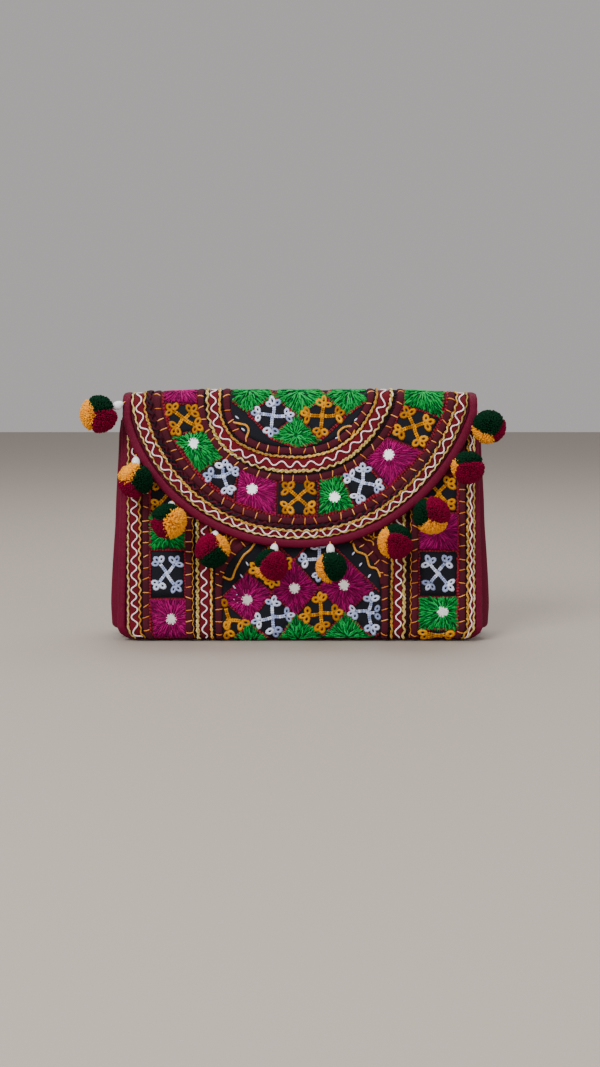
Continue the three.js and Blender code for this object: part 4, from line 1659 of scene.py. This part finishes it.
def frames_along(ways):
    """Two directions square to each given one."""
    helper = np.where(np.abs(ways[:, 2:3]) < 0.9, [[0, 0, 1.0]], [[1.0, 0, 0]])
    first = np.cross(ways, helper)
    first /= np.linalg.norm(first, axis=1)[:, None]
    return first, np.cross(ways, first)


def dimpled(ways, to_bead):
    """The share of its size that the ball keeps where the bead's thread runs in."""
    return 1 - 0.24 * np.exp(-(((1 - ways @ to_bead) / 0.12) ** 2))


def yarn_ends(centre, radius, to_bead, sectors):
    """Short ends of cut yarn round a ball, with the colour of each point."""
    count = TIPS_ON_A_POMPOM
    ways = even_ways(count) + rng.normal(0, 0.022, (count, 3))
    ways /= np.linalg.norm(ways, axis=1)[:, None]
    colours, inside, names = sector_colours(ways, sectors)
    first, second = frames_along(ways)
    full = (0.86 + 0.15 * smooth(inside / 0.35)) * dimpled(ways, to_bead)
    reach = radius * full * rng.uniform(0.96, 1.05, count)
    curly = names == "orange"
    thick = np.where(curly, 0.6, 0.54) * MM * rng.uniform(0.8, 1.25, count)
    stray = np.where(curly, 1.1, 0.4)[:, None] * MM
    bend = rng.normal(0, 1, (count, 2)) * stray
    points = TIP[0]
    share = points[:, 2] + 0.5
    length = radius * 0.36
    along = (reach[:, None] - length * (1 - share)[None])[..., None] * ways[:, None]
    aside = points[None, :, 0] * thick[:, None] + bend[:, :1] * share[None]
    away = points[None, :, 1] * thick[:, None] + bend[:, 1:] * share[None]
    moved = centre + along + aside[..., None] * first[:, None] + away[..., None] * second[:, None]
    # Painted shade: the lower half of each yarn end is darkened, as the shade inside the ball
    depth = np.array([YARN_ROOT_SHADE[name] for name in names])[:, None]
    shade = rng.uniform(0.78, 1.22, count)[:, None] * np.where(share > 0.5, 1.0, depth)
    return copies(TIP, moved), (colours[:, None] * shade[..., None]).reshape(-1, 3)


def yarn_core(centre, radius, to_bead, sectors):
    """The pompom's soft middle, with the colour of each point painted darker than its ends as shade
    inside the ball.
    """
    points, faces = CORE
    ways = points / np.linalg.norm(points, axis=1)[:, None]
    colours, inside, _ = sector_colours(ways, sectors)
    size = radius * (0.74 + 0.12 * smooth(inside / 0.35)) * dimpled(ways, to_bead)
    # Painted shade: the core's colour is darkened to 0.45 of its yarn colour
    return (centre + ways * size[:, None], faces), colours * 0.45


def pompom(k, sectors):
    """A ball of cut yarn: a soft core and many short ends, parted where its colours meet."""
    name = f"pompom_{k + 1}"
    centre, radius = box_of(name)
    to_bead = box_of(f"bead_{k + 1}")[0] - centre
    to_bead /= np.linalg.norm(to_bead)
    ends, end_colours = yarn_ends(centre, radius, to_bead, sectors)
    core, core_shade_colours = yarn_core(centre, radius, to_bead, sectors)
    points, faces = join([ends, core])
    tints = np.minimum(np.concatenate([end_colours, core_shade_colours]), 1)
    tints = np.concatenate([tints, np.ones((len(tints), 1))], axis=1)
    keep(add_object(name + "_yarn", points, faces, yarn, tints=tints), "pompom_yarn", name)


# How far the thread reaches out of a bead, to the flap's edge and into the pompom
THREAD_UP = 5.6
THREAD_DOWN = 6.8
THREAD_RADIUS = 0.4


def beads(material):
    """White drops between the flap's edge and the pompoms, with the thread through each."""
    for k in range(1, len(POMPOMS) + 1):
        centre = box_of(f"bead_{k}")[0]
        along = box_of(f"pompom_{k}")[0] - centre
        along /= np.linalg.norm(along)
        first, second = (way[0] for way in frames_along(along[None]))
        points = DROP[0] * MM
        slim = BEAD_WIDTH / 2 * (1 - 0.14 * DROP[0][:, 2] - 0.1 * DROP[0][:, 2] ** 2)
        place = (
            centre
            + np.outer(points[:, 2] * BEAD_LENGTH / 2, -along)
            + np.outer(points[:, 0] * slim, first)
            + np.outer(points[:, 1] * slim, second)
        )
        obj = facing_out(add_object(f"bead_drop_{k}", place, DROP[1], material))
        keep(obj, "white_bead", f"bead_{k}")
        start = centre - along * THREAD_UP * MM
        strand(f"thread_{k}", start, centre + along * THREAD_DOWN * MM, THREAD_RADIUS * MM)


def strand(name, start, end, radius):
    """A short thread between two points."""
    along = end - start
    first, second = (way[0] for way in frames_along((along / np.linalg.norm(along))[None]))
    rings = 5
    points = []
    for k in range(rings):
        for j in range(THREAD_SIDES):
            a = 2 * math.pi * j / THREAD_SIDES + k * 0.5
            middle = start + along * k / (rings - 1)
            points.append(middle + radius * (first * math.cos(a) + second * math.sin(a)))
    tints = np.full(len(points), 0.6)
    embroidery(name, points, bar_faces(rings, THREAD_SIDES), thread["orange"], tints)


# Camera, light and floor


def camera_and_light():
    """The camera at the photograph's place: seven degrees above level, 0.9 m away."""
    elevation = math.radians(7)
    distance = 0.9
    aim = Vector((0, 0, 0.0699))
    eye = aim + Vector((0, -math.cos(elevation), math.sin(elevation))) * distance
    data = bpy.data.cameras.new("camera")
    camera = bpy.data.objects.new("camera", data)
    bpy.context.scene.collection.objects.link(camera)
    camera.location = eye
    camera.rotation_euler = (aim - eye).to_track_quat("-Z", "Y").to_euler()
    data.sensor_fit = "VERTICAL"
    data.sensor_height = 24
    data.lens = 24 * 1330.4 / 1067
    data.clip_start = 0.01
    bpy.context.scene.camera = camera
    lamps = (
        ("key_light", (-0.7, -1.0, 1.1), 0.7, 22),
        ("fill_light", (0.9, -0.9, 0.6), 1.0, 4),
        ("top_light", (0.1, 0.3, 1.3), 1.0, 12),
        ("front_light", (0.0, -1.6, 0.32), 1.0, 5),
    )
    for name, place, size, power in lamps:
        lamp = bpy.data.lights.new(name, "AREA")
        lamp.size = size
        lamp.energy = power
        obj = bpy.data.objects.new(name, lamp)
        bpy.context.scene.collection.objects.link(obj)
        obj.location = place
        obj.rotation_euler = (aim - Vector(place)).to_track_quat("-Z", "Y").to_euler()
    world = bpy.data.worlds.new("studio")
    bpy.context.scene.world = world
    world.use_nodes = True
    world.node_tree.nodes["Background"].inputs["Color"].default_value = (0.9, 0.86, 0.85, 1)
    world.node_tree.nodes["Background"].inputs["Strength"].default_value = 0.5


def floor():
    """A plain pale floor."""
    bpy.ops.object.select_all(action="DESELECT")
    bpy.ops.mesh.primitive_plane_add(size=6)
    obj = bpy.context.object
    obj.name = "floor"
    material, shader = new_material("pale_floor", 0.55)
    shader.inputs["Base Color"].default_value = (*srgb("ada298"), 1)
    obj.data.materials.append(material)


def carried_over():
    """The mirrors and the snap keep their nodes and get their finish."""
    glass = smooth_material("mirror_glass", 0.12, "d5d9e0", "ffffff", 260.0, 0.1, metallic=1.0)
    metal = smooth_material("snap_metal", 0.35, "8d8a84", "b9b5ad", 700.0, 0.1, metallic=1.0)
    for name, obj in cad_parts.items():
        material = glass if name.startswith("mirror") else metal if name == "snap" else None
        if material:
            for place in obj.material_slots:
                place.material = material


camera_and_light()
floor()
panel_cloth()
flap_cloth()
gusset("gusset_left", -1)
gusset("gusset_right", 1)
bindings()
line_work()
grounds()
cord_lines = ("cord", "cord_in", "cord_core")
cords("cords", [route for line in cord_lines for route in routes(line)] + [arch_route(54.5, 38.0)])
arch_work()
spandrels()
patchwork("front", front_patches())
patchwork("flap", flap_patches())
patchwork("back", back_patches())
for index, sectors in enumerate(POMPOMS):
    pompom(index, sectors)
beads(smooth_material("white_bead", 0.2, "e2e4ea", "ffffff", 500.0, 0.05, coat=0.4, specular=0.5))
carried_over()
